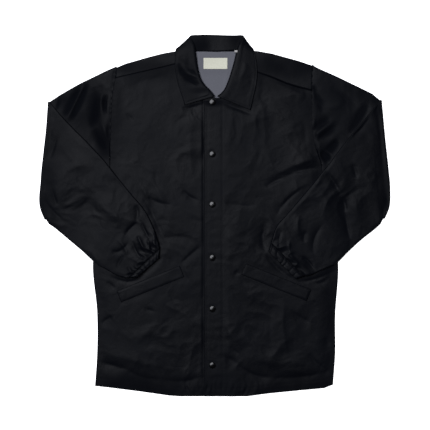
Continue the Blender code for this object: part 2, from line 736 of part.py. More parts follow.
def build_sleeve(side, below):
    """Sleeve as one flattened tube: upper arm, fold and forearm. Returns the forearm's ground as well."""
    rings = upper_rings(side)
    upper_arm = BVHTree.FromPolygons(*tube_faces(np.array(rings)))
    rings += fold_rings(side)
    support = Support(below + [upper_arm, fold_flap(side)])

    def on_top(x, y):
        height = support.at(x, y)
        return height + CLOTH / 2 + GAP + (CLOTH / 2 if height > 1 else 0)

    def relief(x, y):
        return fold_height(x, y, FOREARM_FOLDS[side])

    last = len(FOREARM[side]) - 1
    for number, (x1, y1, x2, y2) in enumerate(FOREARM[side]):
        half = FOREARM_HALF + (WRIST_HALF - FOREARM_HALF) * smooth((number - last + 3) / 3)
        ring = flat_ring((x1, y1), (x2, y2), half, on_top, relief)
        rings.append(gathered(turned_over(ring), smooth((number - last + 2) / 2)))
    wall(f"sleeve_{side}", np.array(rings), SHELL, closed=True)
    return on_top


def turned_over(ring):
    """The same ring begun at the same edge but going along the bottom first, as past the fold."""
    return [ring[0]] + ring[:0:-1]


def gathered(ring, strength):
    """Waves of the elastic along the ring's upper half."""
    ring = np.array(ring)
    middle = ring[:, 2].mean()
    waves = 0.5 + 0.5 * np.sin(2 * math.pi * CUFF_WAVES * np.arange(len(ring)) / len(ring) + 0.6)
    ring[:, 2] += waves * CUFF_WAVE_HEIGHT * strength * (ring[:, 2] > middle)
    return ring


def tube_faces(rings):
    """Corners in metres and faces of a tube, for a search tree."""
    rows, columns = rings.shape[:2]
    corners = [tuple(p) for p in (rings + (0, 0, CLOTH / 2)).reshape(-1, 3) * MM]
    faces = [
        (i * columns + j, i * columns + (j + 1) % columns, (i + 1) * columns + (j + 1) % columns, (i + 1) * columns + j)
        for i in range(rows - 1) for j in range(columns)
    ]
    return corners, faces


def build_cuff(side, on_top):
    """Elastic cuff: a short gathered band beyond the sleeve's end."""
    end = np.array(FOREARM[side][-1], float)
    edge = np.array(CUFF_EDGE[side], float)
    start = end + (edge - end) * (SEAM / np.hypot(*(edge - end)[:2]))
    rings = []
    for share, half in CUFF_RINGS:
        x1, y1, x2, y2 = start + (edge - start) * share
        ring = flat_ring((x1, y1), (x2, y2), half, on_top)
        rings.append(gathered(turned_over(ring), 1))
    return wall(f"cuff_{side}", np.array(rings), SHELL, closed=True)


back = build_back()
lining = build_lining(back)
build_patch("neck_label", LABEL_CORNERS, lining, LABEL_CLOTH, LABEL, (5, 4))
fronts = {side: build_front(side) for side in ("right", "left")}
collar = build_collar()
for number, snap_y in enumerate(SNAP_Y, 1):
    build_snap(number, snap_y, fronts["left"])
for side in ("right", "left"):
    welt = build_welt(side, fronts[side])
    body = surface_of(back, fronts["right"], fronts["left"], welt)
    build_cuff(side, build_sleeve(side, body))
build_patch("size_tab", TAB_CORNERS, collar, LABEL_CLOTH, LABEL, (3, 2))
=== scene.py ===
"""Looks of a black nylon coach jacket that lies flat on its back, snapped shut, sleeves folded in.

Tables and sizes are in millimetres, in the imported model's frame: +X to the wearer's left, +Y to the
collar and +Z up, with z = 0 under the back. Left and right are the wearer's. Meshes are in metres.
"""

import math

import bpy
import numpy as np
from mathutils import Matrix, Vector
from mathutils.bvhtree import BVHTree


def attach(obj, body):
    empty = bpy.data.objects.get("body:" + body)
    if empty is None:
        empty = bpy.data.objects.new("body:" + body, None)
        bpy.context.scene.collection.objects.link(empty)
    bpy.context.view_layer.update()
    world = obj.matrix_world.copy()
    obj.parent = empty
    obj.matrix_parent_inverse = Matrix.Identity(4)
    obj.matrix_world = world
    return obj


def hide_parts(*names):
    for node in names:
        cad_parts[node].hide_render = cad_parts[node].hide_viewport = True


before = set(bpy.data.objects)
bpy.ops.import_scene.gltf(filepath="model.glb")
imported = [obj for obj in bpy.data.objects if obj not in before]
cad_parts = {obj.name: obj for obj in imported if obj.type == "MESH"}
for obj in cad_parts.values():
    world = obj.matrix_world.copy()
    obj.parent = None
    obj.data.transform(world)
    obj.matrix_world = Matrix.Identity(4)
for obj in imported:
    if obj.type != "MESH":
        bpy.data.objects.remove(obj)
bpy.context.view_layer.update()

# Back panel: one width of thin plain-weave nylon. It lies on the ground, wraps forward over both
# shoulders to the forward shoulder seams, and carries the collar's seam between them.
MM = 0.001
SHELL_CLOTH = 0.7
SEAM_GAP = 0.12
FLOOR_LEVEL = SHELL_CLOTH / 2 + 0.05
SHOULDER_LEVEL = 5.6
BACK_COLUMNS, BACK_ROWS, BACK_TURN_ROWS = 116, 150, 14
SHOULDER_SHARE = 0.34  # of the columns that lie on each shoulder
FOLD_INSET, FOLD_STEPS = 3, 9
TUCK_HALF, TUCK_LOW, TUCK_FADE, TUCK_RISE = 114, 336, 22, 2.0  # where the collar is tucked under the back
ARMHOLE_RISE = 1.9
HILLS = 61  # random values along each side of a mottled field
CREASE_STEPS = 15
# The second value is painted shade: the share of the colour left in the gaps between the yarns.
DULL_ROUGHNESS, YARN_GAP_PAINTED_SHADE = 0.28, 0.55
NECK_CENTRE = 6
SHOULDER = {  # seam_x, seam_y, fold_x, fold_y, from the armhole to the neck
    "right": (
        (-229, 324, -227, 347),
        (-199, 331, -205, 357),
        (-172, 337, -177, 365),
        (-145, 343, -149, 373),
        (-115, 350, -118, 381),
        (-88, 357, -90, 386),
        (-63, 362, -60, 386),
    ),
    "left": (
        (234, 294, 236, 352),
        (205, 301, 205, 363),
        (175, 310, 176, 371),
        (135, 327, 140, 381),
        (102, 338, 106, 387),
        (79, 349, 68, 388),
    ),
}
BACK_NECK = ((-42, 391), (-22, 386), (10, 383), (34, 386), (50, 390))  # x, y
SIDE_SEAM = {  # y, x from the hem to the underarm
    "right": ((-400, -276), (-324, -271), (-226, -271), (-113, -281), (0, -266), (132, -241)),
    "left": ((-396, 283), (-324, 288), (-240, 288), (-108, 295), (0, 281), (120, 257)),
}
ARMHOLE = {  # y, x from the underarm to the shoulder fold
    "right": ((132, -241), (180, -241), (232, -240), (284, -236), (324, -229), (347, -227)),
    "left": ((120, 257), (160, 243), (200, 236), (250, 235), (294, 234), (352, 236)),
}
HEM = (  # x, y
    (-276, -399), (-246, -402), (-175, -411), (-105, -421), (-76, -423), (79, -423),
    (135, -416), (206, -409), (262, -404), (283, -396),
)
DULL_SHOULDERS = ((180, 352, 120, 26, 0.8), (-190, 352, 100, 16, 0.5))  # x, y, reach_x, reach_y, amount
BACK_CREASES = (  # x1, y1, xm, ym, x2, y2, width, height, lean
    (-190, 250, -120, 180, -90, 90, 16, 1.3, 0.4),
    (200, 240, 150, 170, 140, 60, 18, 1.4, -0.5),
    (-210, -60, -120, -95, -20, -80, 20, 1.2, 0.3),
    (30, -40, 120, -120, 210, -150, 17, 1.3, -0.4),
    (-60, 300, 10, 270, 80, 305, 22, 1.0, 0.2),
    (-230, -250, -150, -230, -90, -280, 18, 1.2, 0.5),
    (60, -270, 140, -300, 240, -280, 20, 1.3, -0.3),
    (-30, 120, 10, 20, -10, -60, 24, 0.9, 0.1),
    (-200, -350, -90, -330, 30, -350, 14, 1.1, 0.5),
    (90, 120, 160, 90, 230, 110, 14, 1.2, 0.5),
)


def smooth(value):
    """Goes softly from 0 to 1."""
    value = np.clip(value, 0, 1)
    return value * value * (3 - 2 * value)


def through(at, places, values):
    """A smooth curve through the values at the given places, read at one or many places."""
    places, values = np.asarray(places, float), np.asarray(values, float)
    slopes = np.gradient(values, places, axis=0)
    at = np.clip(np.asarray(at, float), places[0], places[-1])
    i = np.clip(np.searchsorted(places, at, side="right") - 1, 0, len(places) - 2)
    span = places[i + 1] - places[i]
    t = (at - places[i]) / span
    if values.ndim > 1:
        span, t = span[..., None], t[..., None]
    start = (2 * t**3 - 3 * t**2 + 1) * values[i] + (t**3 - 2 * t**2 + t) * span * slopes[i]
    return start + (3 * t**2 - 2 * t**3) * values[i + 1] + (t**3 - t**2) * span * slopes[i + 1]


def read(table, at):
    """A straight-sided outline read at one or many places; the table's first column rises."""
    return np.interp(at, [row[0] for row in table], [row[1] for row in table])


def edge_x(side, y):
    """Where the side seam and the armhole of one half run."""
    below = y <= SIDE_SEAM[side][-1][0]
    return np.where(below, through(y, *zip(*SIDE_SEAM[side])), read(ARMHOLE[side], y))


def blend(grid, i, j, i1, j1, a, b):
    """A value between four places of a grid; a and b are the shares of the way to i1 and j1."""
    near = grid[i, j] * (1 - b) + grid[i, j1] * b
    far = grid[i1, j] * (1 - b) + grid[i1, j1] * b
    return near * (1 - a) + far * a


def mottle(x, y, cell, seed):
    """Soft random hills between -1 and 1, about a cell wide."""
    hills = np.random.default_rng(seed).uniform(-1, 1, (HILLS, HILLS))
    u, v = np.asarray(x) / cell + HILLS / 2, np.asarray(y) / cell + HILLS / 2
    i, j = np.floor(u).astype(int), np.floor(v).astype(int)
    i1, j1 = (i + 1) % HILLS, (j + 1) % HILLS
    return blend(hills, i % HILLS, j % HILLS, i1, j1, smooth(u - i), smooth(v - j))


def crumpled(x, y, height, seed):
    """Faint crumpling of thin nylon that has been folded and shaken out: facets with soft ridges."""
    shift_x = x + 20 * mottle(x, y, 53, seed + 1)
    shift_y = y + 20 * mottle(x, y, 53, seed + 2)
    total = 0
    for cell, share, turn in ((58, 1.0, 0.5), (31, 0.55, 1.9), (15, 0.22, 2.7)):
        u = shift_x * math.cos(turn) - shift_y * math.sin(turn)
        v = shift_x * math.sin(turn) + shift_y * math.cos(turn)
        total = total + share * (0.5 - np.abs(mottle(u, v, cell, seed + cell)))
    return height * total * (0.8 + 0.5 * mottle(x, y, 90, seed + 5))


def dulled(x, y, spots):
    """How dull the nylon is, from 0 up: where it was pressed or pulled, its gloss is lower."""
    x, y = np.asarray(x, float), np.asarray(y, float)
    dull = np.zeros(np.broadcast(x, y).shape)
    for spot_x, spot_y, reach_x, reach_y, amount in spots:
        away = ((x - spot_x) / reach_x) ** 2 + ((y - spot_y) / reach_y) ** 2
        dull = np.maximum(dull, amount * np.exp(-(away**1.5) * 0.7))
    return dull * (1 + 0.35 * mottle(x, y, 24, 17))


def creased(x, y, creases):
    """Sum of the listed creases. Each is a curve through its middle point, tapered at both ends.

    A positive height is a ridge and a negative one a trough; lean makes one of its sides steeper.
    """
    x, y = np.asarray(x, float), np.asarray(y, float)
    total = np.zeros(x.shape)
    for x1, y1, xm, ym, x2, y2, width, height, lean in creases:
        start, middle, end = (np.array(p, float) for p in ((x1, y1), (xm, ym), (x2, y2)))
        control = 2 * middle - (start + end) / 2
        t = np.linspace(0, 1, CREASE_STEPS)[:, None]
        curve = (1 - t) ** 2 * start + 2 * t * (1 - t) * control + t**2 * end
        low, high = curve.min(0) - 3 * width, curve.max(0) + 3 * width
        near = (x > low[0]) & (x < high[0]) & (y > low[1]) & (y < high[1])
        px, py = x[near], y[near]
        best, along, sign = np.full(px.shape, 1e9), np.zeros(px.shape), np.ones(px.shape)
        for k in range(len(curve) - 1):
            (ax, ay), (dx, dy) = curve[k], curve[k + 1] - curve[k]
            share = np.clip(((px - ax) * dx + (py - ay) * dy) / (dx * dx + dy * dy), 0, 1)
            away_x, away_y = px - ax - share * dx, py - ay - share * dy
            away = np.hypot(away_x, away_y)
            closer = away < best
            best = np.where(closer, away, best)
            along = np.where(closer, (k + share) / (len(curve) - 1), along)
            sign = np.where(closer, np.sign(dx * away_y - dy * away_x), sign)
        reach = width * (1 - 0.72 * lean * sign)
        taper = np.sin(math.pi * np.clip(along, 0.02, 0.98)) ** 0.7
        crest = 0.22 * reach
        total[near] += height * taper * np.exp(-(np.hypot(best, crest) - crest) / reach * 1.7)
    return total


def spread(points, count):
    """A polyline's points at even steps along its length."""
    points = np.array(points, float)
    lengths = np.concatenate([[0], np.cumsum(np.hypot(*np.diff(points[:, :2], axis=0).T))])
    at = np.linspace(0, lengths[-1], count)
    return np.stack([np.interp(at, lengths, column) for column in points.T], axis=-1)


def panel_plan(hem_ends, top, sides, rows):
    """Plan places of a body panel between its hem and its top, row by row.

    sides gives the halves whose side seam and armhole the first or last column follows.
    """
    top = np.array(top, float)
    across = (top[:, 0] - top[0, 0]) / (top[-1, 0] - top[0, 0])
    hem_x = hem_ends[0] + across * (hem_ends[1] - hem_ends[0])
    hem = np.stack([hem_x, read(HEM, hem_x)], axis=-1)
    share = np.linspace(0, 1, rows)[:, None, None]
    plan = hem + (top - hem) * share
    for side, column in sides:
        weight = across if column else 1 - across
        move = edge_x(side, plan[:, column, 1]) - plan[:, column, 0]
        plan[:, :, 0] += weight**1.5 * move[:, None]
    return plan


def add_object(name, data):
    """An object in the scene."""
    made = bpy.data.objects.new(name, data)
    bpy.context.scene.collection.objects.link(made)
    return made


def grid_faces(rows, columns, closed, keep=None):
    """Faces between a grid's points, and the column at which each begins."""
    i, j = np.meshgrid(np.arange(rows - 1), np.arange(columns - (0 if closed else 1)), indexing="ij")
    if keep is not None:
        i, j = i[keep(i, j)], j[keep(i, j)]
    i, j = i.ravel(), j.ravel()
    here, beyond = i * columns, (i + 1) * columns
    k = (j + 1) % columns
    return np.stack([here + j, here + k, beyond + k, beyond + j], axis=-1), j


def cloth_piece(name, points, flat, material, thickness, closed=False, keep=None, dull=None):
    """A cloth wall around a grid of points. flat holds each point's place on the cut cloth."""
    rows, columns = points.shape[:2]
    faces, column = grid_faces(rows, columns, closed, keep)
    used, faces = np.unique(faces, return_inverse=True)
    faces = faces.reshape(-1, 4)
    mesh = bpy.data.meshes.new(name)
    mesh.from_pydata((points.reshape(-1, 3)[used] * MM).tolist(), [], faces.tolist())
    corners = flat.reshape(-1, 2)[used][faces.ravel()] * MM
    if closed:
        seam = np.repeat(column == columns - 1, 4) & np.tile([False, True, True, False], len(column))
        corners[seam, 0] = flat[..., 0].max() * MM
    mesh.uv_layers.new(name="cut").data.foreach_set("uv", corners.ravel())
    if dull is not None:
        shown = mesh.attributes.new("dull", "FLOAT", "POINT")
        shown.data.foreach_set("value", np.broadcast_to(dull, (rows, columns)).reshape(-1)[used])
    mesh.materials.append(material)
    mesh.shade_smooth()
    piece = add_object(name, mesh)
    wall = piece.modifiers.new("Wall", "SOLIDIFY")
    wall.thickness = thickness * MM
    wall.offset = 0
    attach(piece, "root")
    return piece


def set_inputs(tree, node, inputs):
    """Gives a node's inputs their values, or links them where a socket is given."""
    for name, value in inputs.items():
        if isinstance(value, bpy.types.NodeSocket):
            tree.links.new(value, node.inputs[name])
        else:
            node.inputs[name].default_value = value


def add_node(tree, kind, inputs=(), **settings):
    """A new node with its settings and inputs."""
    node = tree.nodes.new(kind)
    for name, value in settings.items():
        setattr(node, name, value)
    set_inputs(tree, node, dict(inputs))
    return node


def calculate(tree, operation, *values, **settings):
    """The result of a calculation with values and sockets."""
    return add_node(tree, "ShaderNodeMath", enumerate(values), operation=operation, **settings).outputs[0]


def new_group(name, kind, inputs, outputs):
    """A node group and what it is given. A socket is stated by its type or by a number's usual value."""
    group = bpy.data.node_groups.new(name, kind)
    for in_out, sockets in (("INPUT", inputs), ("OUTPUT", outputs)):
        for label, value in sockets.items():
            held = value if isinstance(value, str) else "Float"
            socket = group.interface.new_socket(label, in_out=in_out, socket_type=f"NodeSocket{held}")
            if held != value:
                socket.default_value = value
    return group, group.nodes.new("NodeGroupInput").outputs


def weave_group():
    """Plain weave of fine filament yarns: a height, and a mask of the gaps between the yarns."""
    inputs, outputs = {"Yarn Pitch": 0.0004, "Unevenness": 0.2}, {"Height": "Float", "Gaps": "Float"}
    group, given = new_group("plain weave", "ShaderNodeTree", inputs, outputs)
    uv = add_node(group, "ShaderNodeUVMap", uv_map="cut").outputs["UV"]
    scale = calculate(group, "DIVIDE", math.pi, given["Yarn Pitch"])
    scaled = add_node(group, "ShaderNodeVectorMath", {0: uv, "Scale": scale}, operation="SCALE").outputs[0]
    split = add_node(group, "ShaderNodeSeparateXYZ", {0: scaled}).outputs
    warp, weft = (calculate(group, "SINE", split[axis]) for axis in "XY")
    warp_up, weft_up = (calculate(group, "ABSOLUTE", wave) for wave in (warp, weft))
    over = calculate(group, "MULTIPLY", calculate(group, "MULTIPLY", warp, weft), 0.5)
    yarn = add_node(group, "ShaderNodeTexNoise", {"Scale": 900, "Detail": 1, "Vector": uv}).outputs["Fac"]
    uneven = calculate(group, "MULTIPLY", yarn, given["Unevenness"])
    height = calculate(group, "ADD", calculate(group, "MAXIMUM", warp_up, weft_up), over)
    gaps = calculate(group, "SUBTRACT", 1, calculate(group, "MULTIPLY", warp_up, weft_up))
    shown = {"Height": calculate(group, "ADD", height, uneven), "Gaps": gaps}
    add_node(group, "NodeGroupOutput", shown)
    return group


def handling_group():
    """What handling leaves on cloth: small soft creases, and patches where the sheen differs."""
    inputs = {"Crease Size": 30.0, "Patch Size": 9.0, "Seed": 0.0}
    outputs = {"Creases": "Float", "Patches": "Float"}
    group, given = new_group("handled cloth", "ShaderNodeTree", inputs, outputs)
    place = add_node(group, "ShaderNodeTexCoord").outputs["Object"]
    wander = add_node(group, "ShaderNodeTexNoise", {"Scale": 14, "Vector": place}).outputs["Color"]
    bent = add_node(group, "ShaderNodeMix", {"A": place, "B": wander, "Factor": 0.06}, data_type="VECTOR")

    def noise(vector, size, **inputs):
        inputs = {"Vector": vector, "Scale": given[size], "W": given["Seed"], **inputs}
        return add_node(group, "ShaderNodeTexNoise", inputs, noise_dimensions="4D").outputs["Fac"]

    ridges = noise(bent.outputs["Result"], "Crease Size", Detail=3, Roughness=0.45)
    creases = calculate(group, "ABSOLUTE", calculate(group, "SUBTRACT", ridges, 0.5))
    shown = {"Creases": creases, "Patches": noise(place, "Patch Size", Detail=2)}
    add_node(group, "NodeGroupOutput", shown)
    return group


def new_material(name):
    """A material with its node tree and its shader."""
    material = bpy.data.materials.new(name)
    material.use_nodes = True
    return material, material.node_tree, material.node_tree.nodes["Principled BSDF"]


def mixed(tree, share, first, second, **settings):
    """A colour between two others."""
    inputs = {"Factor": share, "A": first, "B": second}
    return add_node(tree, "ShaderNodeMix", inputs, data_type="RGBA", **settings).outputs["Result"]


def bumped(tree, height, depth, strength=1, **inputs):
    """The direction of a surface with bumps of a depth in metres."""
    inputs = {"Height": height, "Distance": depth, "Strength": strength, **inputs}
    return add_node(tree, "ShaderNodeBump", inputs).outputs["Normal"]


WEAVE = weave_group()
HANDLED = handling_group()


def woven_material(name, dark, light, yarn_pitch, roughness, crease_depth, weave_depth, seed, specular=0.4):
    """Woven cloth: colour between two shades, with painted shade in the gaps between the yarns, weave and
    handling bumps, uneven gloss.
    """
    material, tree, shader = new_material(name)
    weave = add_node(tree, "ShaderNodeGroup", {"Yarn Pitch": yarn_pitch}, node_tree=WEAVE).outputs
    handled = add_node(tree, "ShaderNodeGroup", {"Seed": seed}, node_tree=HANDLED).outputs
    patches = {"Value": handled["Patches"], "From Min": 0.3, "From Max": 0.7}
    shade = add_node(tree, "ShaderNodeMapRange", patches).outputs["Result"]
    worn = mixed(tree, shade, (*dark, 1), (*light, 1))
    # Painted shade: the base colour is darkened in the gaps between the yarns, where real shade falls.
    painted_gap_shade = (YARN_GAP_PAINTED_SHADE, YARN_GAP_PAINTED_SHADE, YARN_GAP_PAINTED_SHADE, 1)
    patches |= {"To Min": roughness - 0.05, "To Max": roughness + 0.07}
    gloss = add_node(tree, "ShaderNodeMapRange", patches).outputs["Result"]
    dull = add_node(tree, "ShaderNodeAttribute", attribute_name="dull").outputs["Fac"]
    soft = bumped(tree, handled["Creases"], crease_depth * MM)
    set_inputs(tree, shader, {
        "Base Color": mixed(tree, weave["Gaps"], worn, painted_gap_shade, blend_type="MULTIPLY"),
        "Roughness": calculate(tree, "MULTIPLY_ADD", dull, DULL_ROUGHNESS, gloss, use_clamp=True),
        "Specular IOR Level": specular,
        "Normal": bumped(tree, weave["Height"], weave_depth * MM, 0.6, Normal=soft),
    })
    return material


SHELL = woven_material(
    "black_nylon", (0.0016, 0.0019, 0.0031), (0.0026, 0.0031, 0.0046), 0.0004, 0.42, 1.2, 0.03, 1.0, 0.032
)


def dress(nodes):
    """Hides the CAD nodes that the piece stands for."""
    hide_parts(*nodes)


def back_level(x, y):
    """Middle of the back's cloth: on the ground, but raised over the collar and the sleeve seams."""
    across = smooth((TUCK_HALF - np.abs(x - NECK_CENTRE)) / TUCK_FADE)
    level = FLOOR_LEVEL + TUCK_RISE * smooth((y - TUCK_LOW) / TUCK_FADE) * across
    for side in SIDE_SEAM:
        inside = np.abs(x - edge_x(side, y))
        above = y - SIDE_SEAM[side][-1][0]
        rise = ARMHOLE_RISE * smooth((17 - inside) / 11) * smooth((above - 6) / 30)
        level = np.maximum(level, FLOOR_LEVEL + rise)
    return level


def make_back():
    """Back with its two forward wraps; the rows beyond the plan turn over the shoulder folds."""
    right, left = SHOULDER["right"], SHOULDER["left"][::-1]
    parts = (right, (right[-1], *((x, y, x, y) for x, y in BACK_NECK), left[0]), left)
    shoulder = int(BACK_COLUMNS * SHOULDER_SHARE)
    counts = (shoulder, BACK_COLUMNS - 2 * shoulder + 2, shoulder)
    rows = [spread([(*row[2:], *row[:2]) for row in part], count) for part, count in zip(parts, counts)]
    top = np.concatenate([rows[0], rows[1][1:-1], rows[2]])
    fold, seam = top[:, :2], top[:, 2:] + (0, SEAM_GAP / 2)
    hem_ends, sides = (HEM[0][0], HEM[-1][0]), (("right", 0), ("left", -1))
    plan = panel_plan(hem_ends, fold - (0, FOLD_INSET), sides, BACK_ROWS)
    x, y = plan[..., 0], plan[..., 1]
    inside = np.minimum(np.abs(x - edge_x("right", y)), np.abs(x - edge_x("left", y)))
    free = smooth(inside / 45) * smooth((330 - y) / 60) * smooth((y - read(HEM, x)) / 45)
    z = back_level(x, y) + np.maximum(0, creased(x, y, BACK_CREASES) + crumpled(x, y, 0.5, 7)) * free
    points = [np.stack([x, y, z], axis=-1)]
    last_y, last_z = points[0][-1, :, 1], points[0][-1, :, 2]
    radius = (SHOULDER_LEVEL - last_z) / 2
    for angle in np.linspace(0, math.pi, FOLD_STEPS)[1:]:
        out, up = (fold[:, 1] - last_y) * math.sin(angle), radius * (1 - math.cos(angle))
        points.append(np.stack([fold[:, 0], last_y + out, last_z + up], axis=-1)[None])
    for share in np.linspace(0, 1, BACK_TURN_ROWS)[1:]:
        x, y = (fold * (1 - share) + seam * share - (0, FOLD_INSET * (1 - share))).T
        level = SHOULDER_LEVEL + crumpled(x, y, 0.9, 19) * smooth((1 - share) * 3) * smooth(share * 3)
        points.append(np.stack([x, y, level], axis=-1)[None])
    points = np.concatenate(points)
    steps = np.hypot(*np.diff(points[..., 1:], axis=0).transpose(2, 0, 1))
    along = np.concatenate([np.zeros((1, points.shape[1])), np.cumsum(steps, axis=0)])
    flat = np.stack([points[..., 0], along], axis=-1)

    def keep(i, j):
        return (i < BACK_ROWS - 1) | (j < counts[0] - 1) | (j >= counts[0] + counts[1] - 3)

    dull = dulled(points[..., 0], points[..., 1], DULL_SHOULDERS) * smooth((points[..., 2] - 3) / 1.5)
    return cloth_piece("back_panel", points, flat, SHELL, SHELL_CLOTH, keep=keep, dull=dull)


back = make_back()
dress(["back"])


# Back lining: matt grey cloth inside the back, of which only the neck opening shows a part. It is
# caught in the neck seam and hangs free below it, with a few soft pressed folds.
GAP = 0.35
ABOVE_ALL = 0.2  # in metres
LINING_CLOTH = 0.5
LINING_STEPS = 56
LINING_ROWS = (  # y, x at the right, x at the left
    (266, -14, 24), (290, -38, 48), (318, -54, 62), (342, -58, 66),
    (362, -54, 60), (374, -49, 62), (386, -42, 58),
)
LINING_CREASES = (  # x1, y1, xm, ym, x2, y2, width, height, lean
    (-30, 372, -22, 330, -14, 292, 6, 0.5, 0.4),
    (36, 372, 34, 335, 26, 300, 5, 0.6, -0.4),
    (-8, 330, 6, 318, 22, 300, 7, 0.4, 0.3),
)
LINING = woven_material(
    "grey_lining", (0.079, 0.081, 0.099), (0.101, 0.103, 0.12), 0.0005, 0.72, 1.0, 0.05, 4.0
)


def trees_of(*pieces):
    """Search trees of finished pieces, with their walls."""
    graph = bpy.context.evaluated_depsgraph_get()
    return [BVHTree.FromObject(piece, graph) for piece in pieces]


def top_of(trees, x, y):
    """Height of the highest cloth at one place."""
    start, down = Vector((x * MM, y * MM, ABOVE_ALL)), Vector((0, 0, -1))
    hits = [tree.ray_cast(start, down)[0] for tree in trees]
    return max([hit.z / MM for hit in hits if hit is not None], default=0.0)


def rest_on(trees, x, y, reach):
    """Heights just above everything that lies within reach of each place."""
    around = ((0, 0), (reach, 0), (-reach, 0), (0, reach), (0, -reach))

    def highest(a, b):
        return max(top_of(trees, a + dx, b + dy) for dx, dy in around)

    return GAP + np.array([[highest(a, b) for a, b in zip(*row)] for row in zip(x, y)])


def laid_piece(name, x, y, z, material, thickness):
    """A small piece of cloth that lies nearly flat, as it was cut."""
    return cloth_piece(name, np.stack([x, y, z], -1), np.stack([x, y], -1), material, thickness)


def make_lining():
    """Lining as a grid between its two outlines, laid on the back."""
    y = np.linspace(LINING_ROWS[0][0], LINING_ROWS[-1][0], LINING_STEPS)
    ends = through(y, [row[0] for row in LINING_ROWS], [row[1:] for row in LINING_ROWS])
    x = ends[:, :1] + (ends[:, 1:] - ends[:, :1]) * np.linspace(0, 1, LINING_STEPS)
    y = np.repeat(y[:, None], LINING_STEPS, axis=1)
    z = rest_on(trees_of(back), x, y, 8) + LINING_CLOTH / 2 + creased(x, y, LINING_CREASES)
    return laid_piece("lining_at_neck", x, y, z, LINING, LINING_CLOTH)


lining = make_lining()
dress(["back_lining"])

# Neck label: cream woven tape, bare, with both short ends turned under and sewn down along them in
# matching thread. It lies on the lining just below the neck seam.
LABEL_CLOTH = 0.45
LABEL_PLACE = (-21, 345, 35, 371)  # x, y of two corners
LABEL_COLUMNS, LABEL_ROWS = 60, 30
LABEL = woven_material(
    "cream_label", (0.585, 0.58, 0.465), (0.695, 0.69, 0.565), 0.00045, 0.75, 0.6, 0.08, 9.0
)


def stitch_tree():
    """A row of stitches along a polyline: rounded lengths of thread that narrow to both ends."""
    inputs = {"Geometry": "Geometry", "Pitch": 0.003, "Stitch Length": 0.0024, "Thread Radius": 0.0002}
    inputs["Thread"] = "Material"
    tree, given = new_group("row of stitches", "GeometryNodeTree", inputs, {"Geometry": "Geometry"})
    path = add_node(tree, "GeometryNodeMeshToCurve", {0: given["Geometry"]}).outputs[0]
    steps = {0: path, "Length": given["Pitch"]}
    places = add_node(tree, "GeometryNodeCurveToPoints", steps, mode="LENGTH").outputs
    along = {"Vector": places["Tangent"]}
    turn = add_node(tree, "FunctionNodeAlignRotationToVector", along, axis="X").outputs[0]
    half, radius = calculate(tree, "MULTIPLY", given["Stitch Length"], 0.5), given["Thread Radius"]
    size = add_node(tree, "ShaderNodeCombineXYZ", {"X": half, "Y": radius, "Z": radius}).outputs[0]
    thread = add_node(tree, "GeometryNodeMeshUVSphere", {"Segments": 6, "Rings": 5}).outputs["Mesh"]
    shown = {"Points": places["Points"], "Instance": thread, "Rotation": turn, "Scale": size}
    shown = add_node(tree, "GeometryNodeInstanceOnPoints", shown).outputs[0]
    shown = add_node(tree, "GeometryNodeRealizeInstances", {0: shown}).outputs[0]
    shown = add_node(tree, "GeometryNodeSetShadeSmooth", {0: shown}).outputs[0]
    shown = add_node(tree, "GeometryNodeSetMaterial", {0: shown, "Material": given["Thread"]}).outputs[0]
    add_node(tree, "NodeGroupOutput", {0: shown})
    return tree


def thread_material(name, colour, roughness, specular=0.3):
    """Twisted sewing thread, its shade uneven along the twist."""
    material, tree, shader = new_material(name)
    place = add_node(tree, "ShaderNodeTexCoord").outputs["Object"]
    twist = add_node(tree, "ShaderNodeTexNoise", {"Scale": 2200, "Vector": place}).outputs["Fac"]
    dark, light = ((*(share * c for c in colour), 1) for share in (0.6, 1.3))
    set_inputs(tree, shader, {
        "Base Color": mixed(tree, twist, dark, light), "Roughness": roughness,
        "Specular IOR Level": specular, "Normal": bumped(tree, twist, 0.0001),
    })
    return material


STITCHES = stitch_tree()
SEWN_STEP = 1.5  # between the places at which a row of stitches is laid on its carrier
CREAM_THREAD = thread_material("cream_thread", (0.55, 0.53, 0.46), 0.7)


def sew(name, carriers, rows, thread, pitch=3.0, stitch=2.4, radius=0.2):
    """Rows of stitches on top of the pieces that carry them. A row is a list of x, y places."""
    trees = trees_of(*carriers)
    corners, edges = [], []
    for row in rows:
        length = np.hypot(*np.diff(np.array(row, float), axis=0).T).sum()
        first = len(corners)
        for x, y in spread(row, max(2, int(length / SEWN_STEP))):
            corners.append((x * MM, y * MM, (top_of(trees, x, y) + radius * 0.35) * MM))
        edges += [(k, k + 1) for k in range(first, len(corners) - 1)]
    mesh = bpy.data.meshes.new(name)
    mesh.from_pydata(corners, edges, [])
    path = add_object(name + "_path", mesh)
    maker = path.modifiers.new("Stitches", "NODES")
    maker.node_group = STITCHES
    values = {"Pitch": pitch * MM, "Stitch Length": stitch * MM, "Thread Radius": radius * MM}
    values["Thread"] = thread
    for item in STITCHES.interface.items_tree:
        if item.in_out == "INPUT" and item.name in values:
            maker[item.identifier] = values[item.name]
    graph = bpy.context.evaluated_depsgraph_get()
    plain = bpy.data.meshes.new_from_object(path.evaluated_get(graph))
    bpy.data.objects.remove(path)
    plain.name = name
    piece = add_object(name, plain)
    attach(piece, "root")
    return piece


def make_label():
    """Label as a grid on the lining, thicker where its ends are turned under."""
    x0, y0, x1, y1 = LABEL_PLACE
    x, y = np.meshgrid(np.linspace(x0, x1, LABEL_COLUMNS), np.linspace(y0, y1, LABEL_ROWS))
    turned = smooth((6 - np.minimum(x - x0, x1 - x)) / 2)
    dip = creased(x, y, ((x0 + 2, y0 + 9, x0 + 24, y0 + 13, x1 - 3, y0 + 10, 7, -0.25, 0.3),))
    z = rest_on(trees_of(lining), x, y, 2) + LABEL_CLOTH / 2 + 0.25 * turned + dip
    return laid_piece("neck_label_tape", x, y, z, LABEL, LABEL_CLOTH)


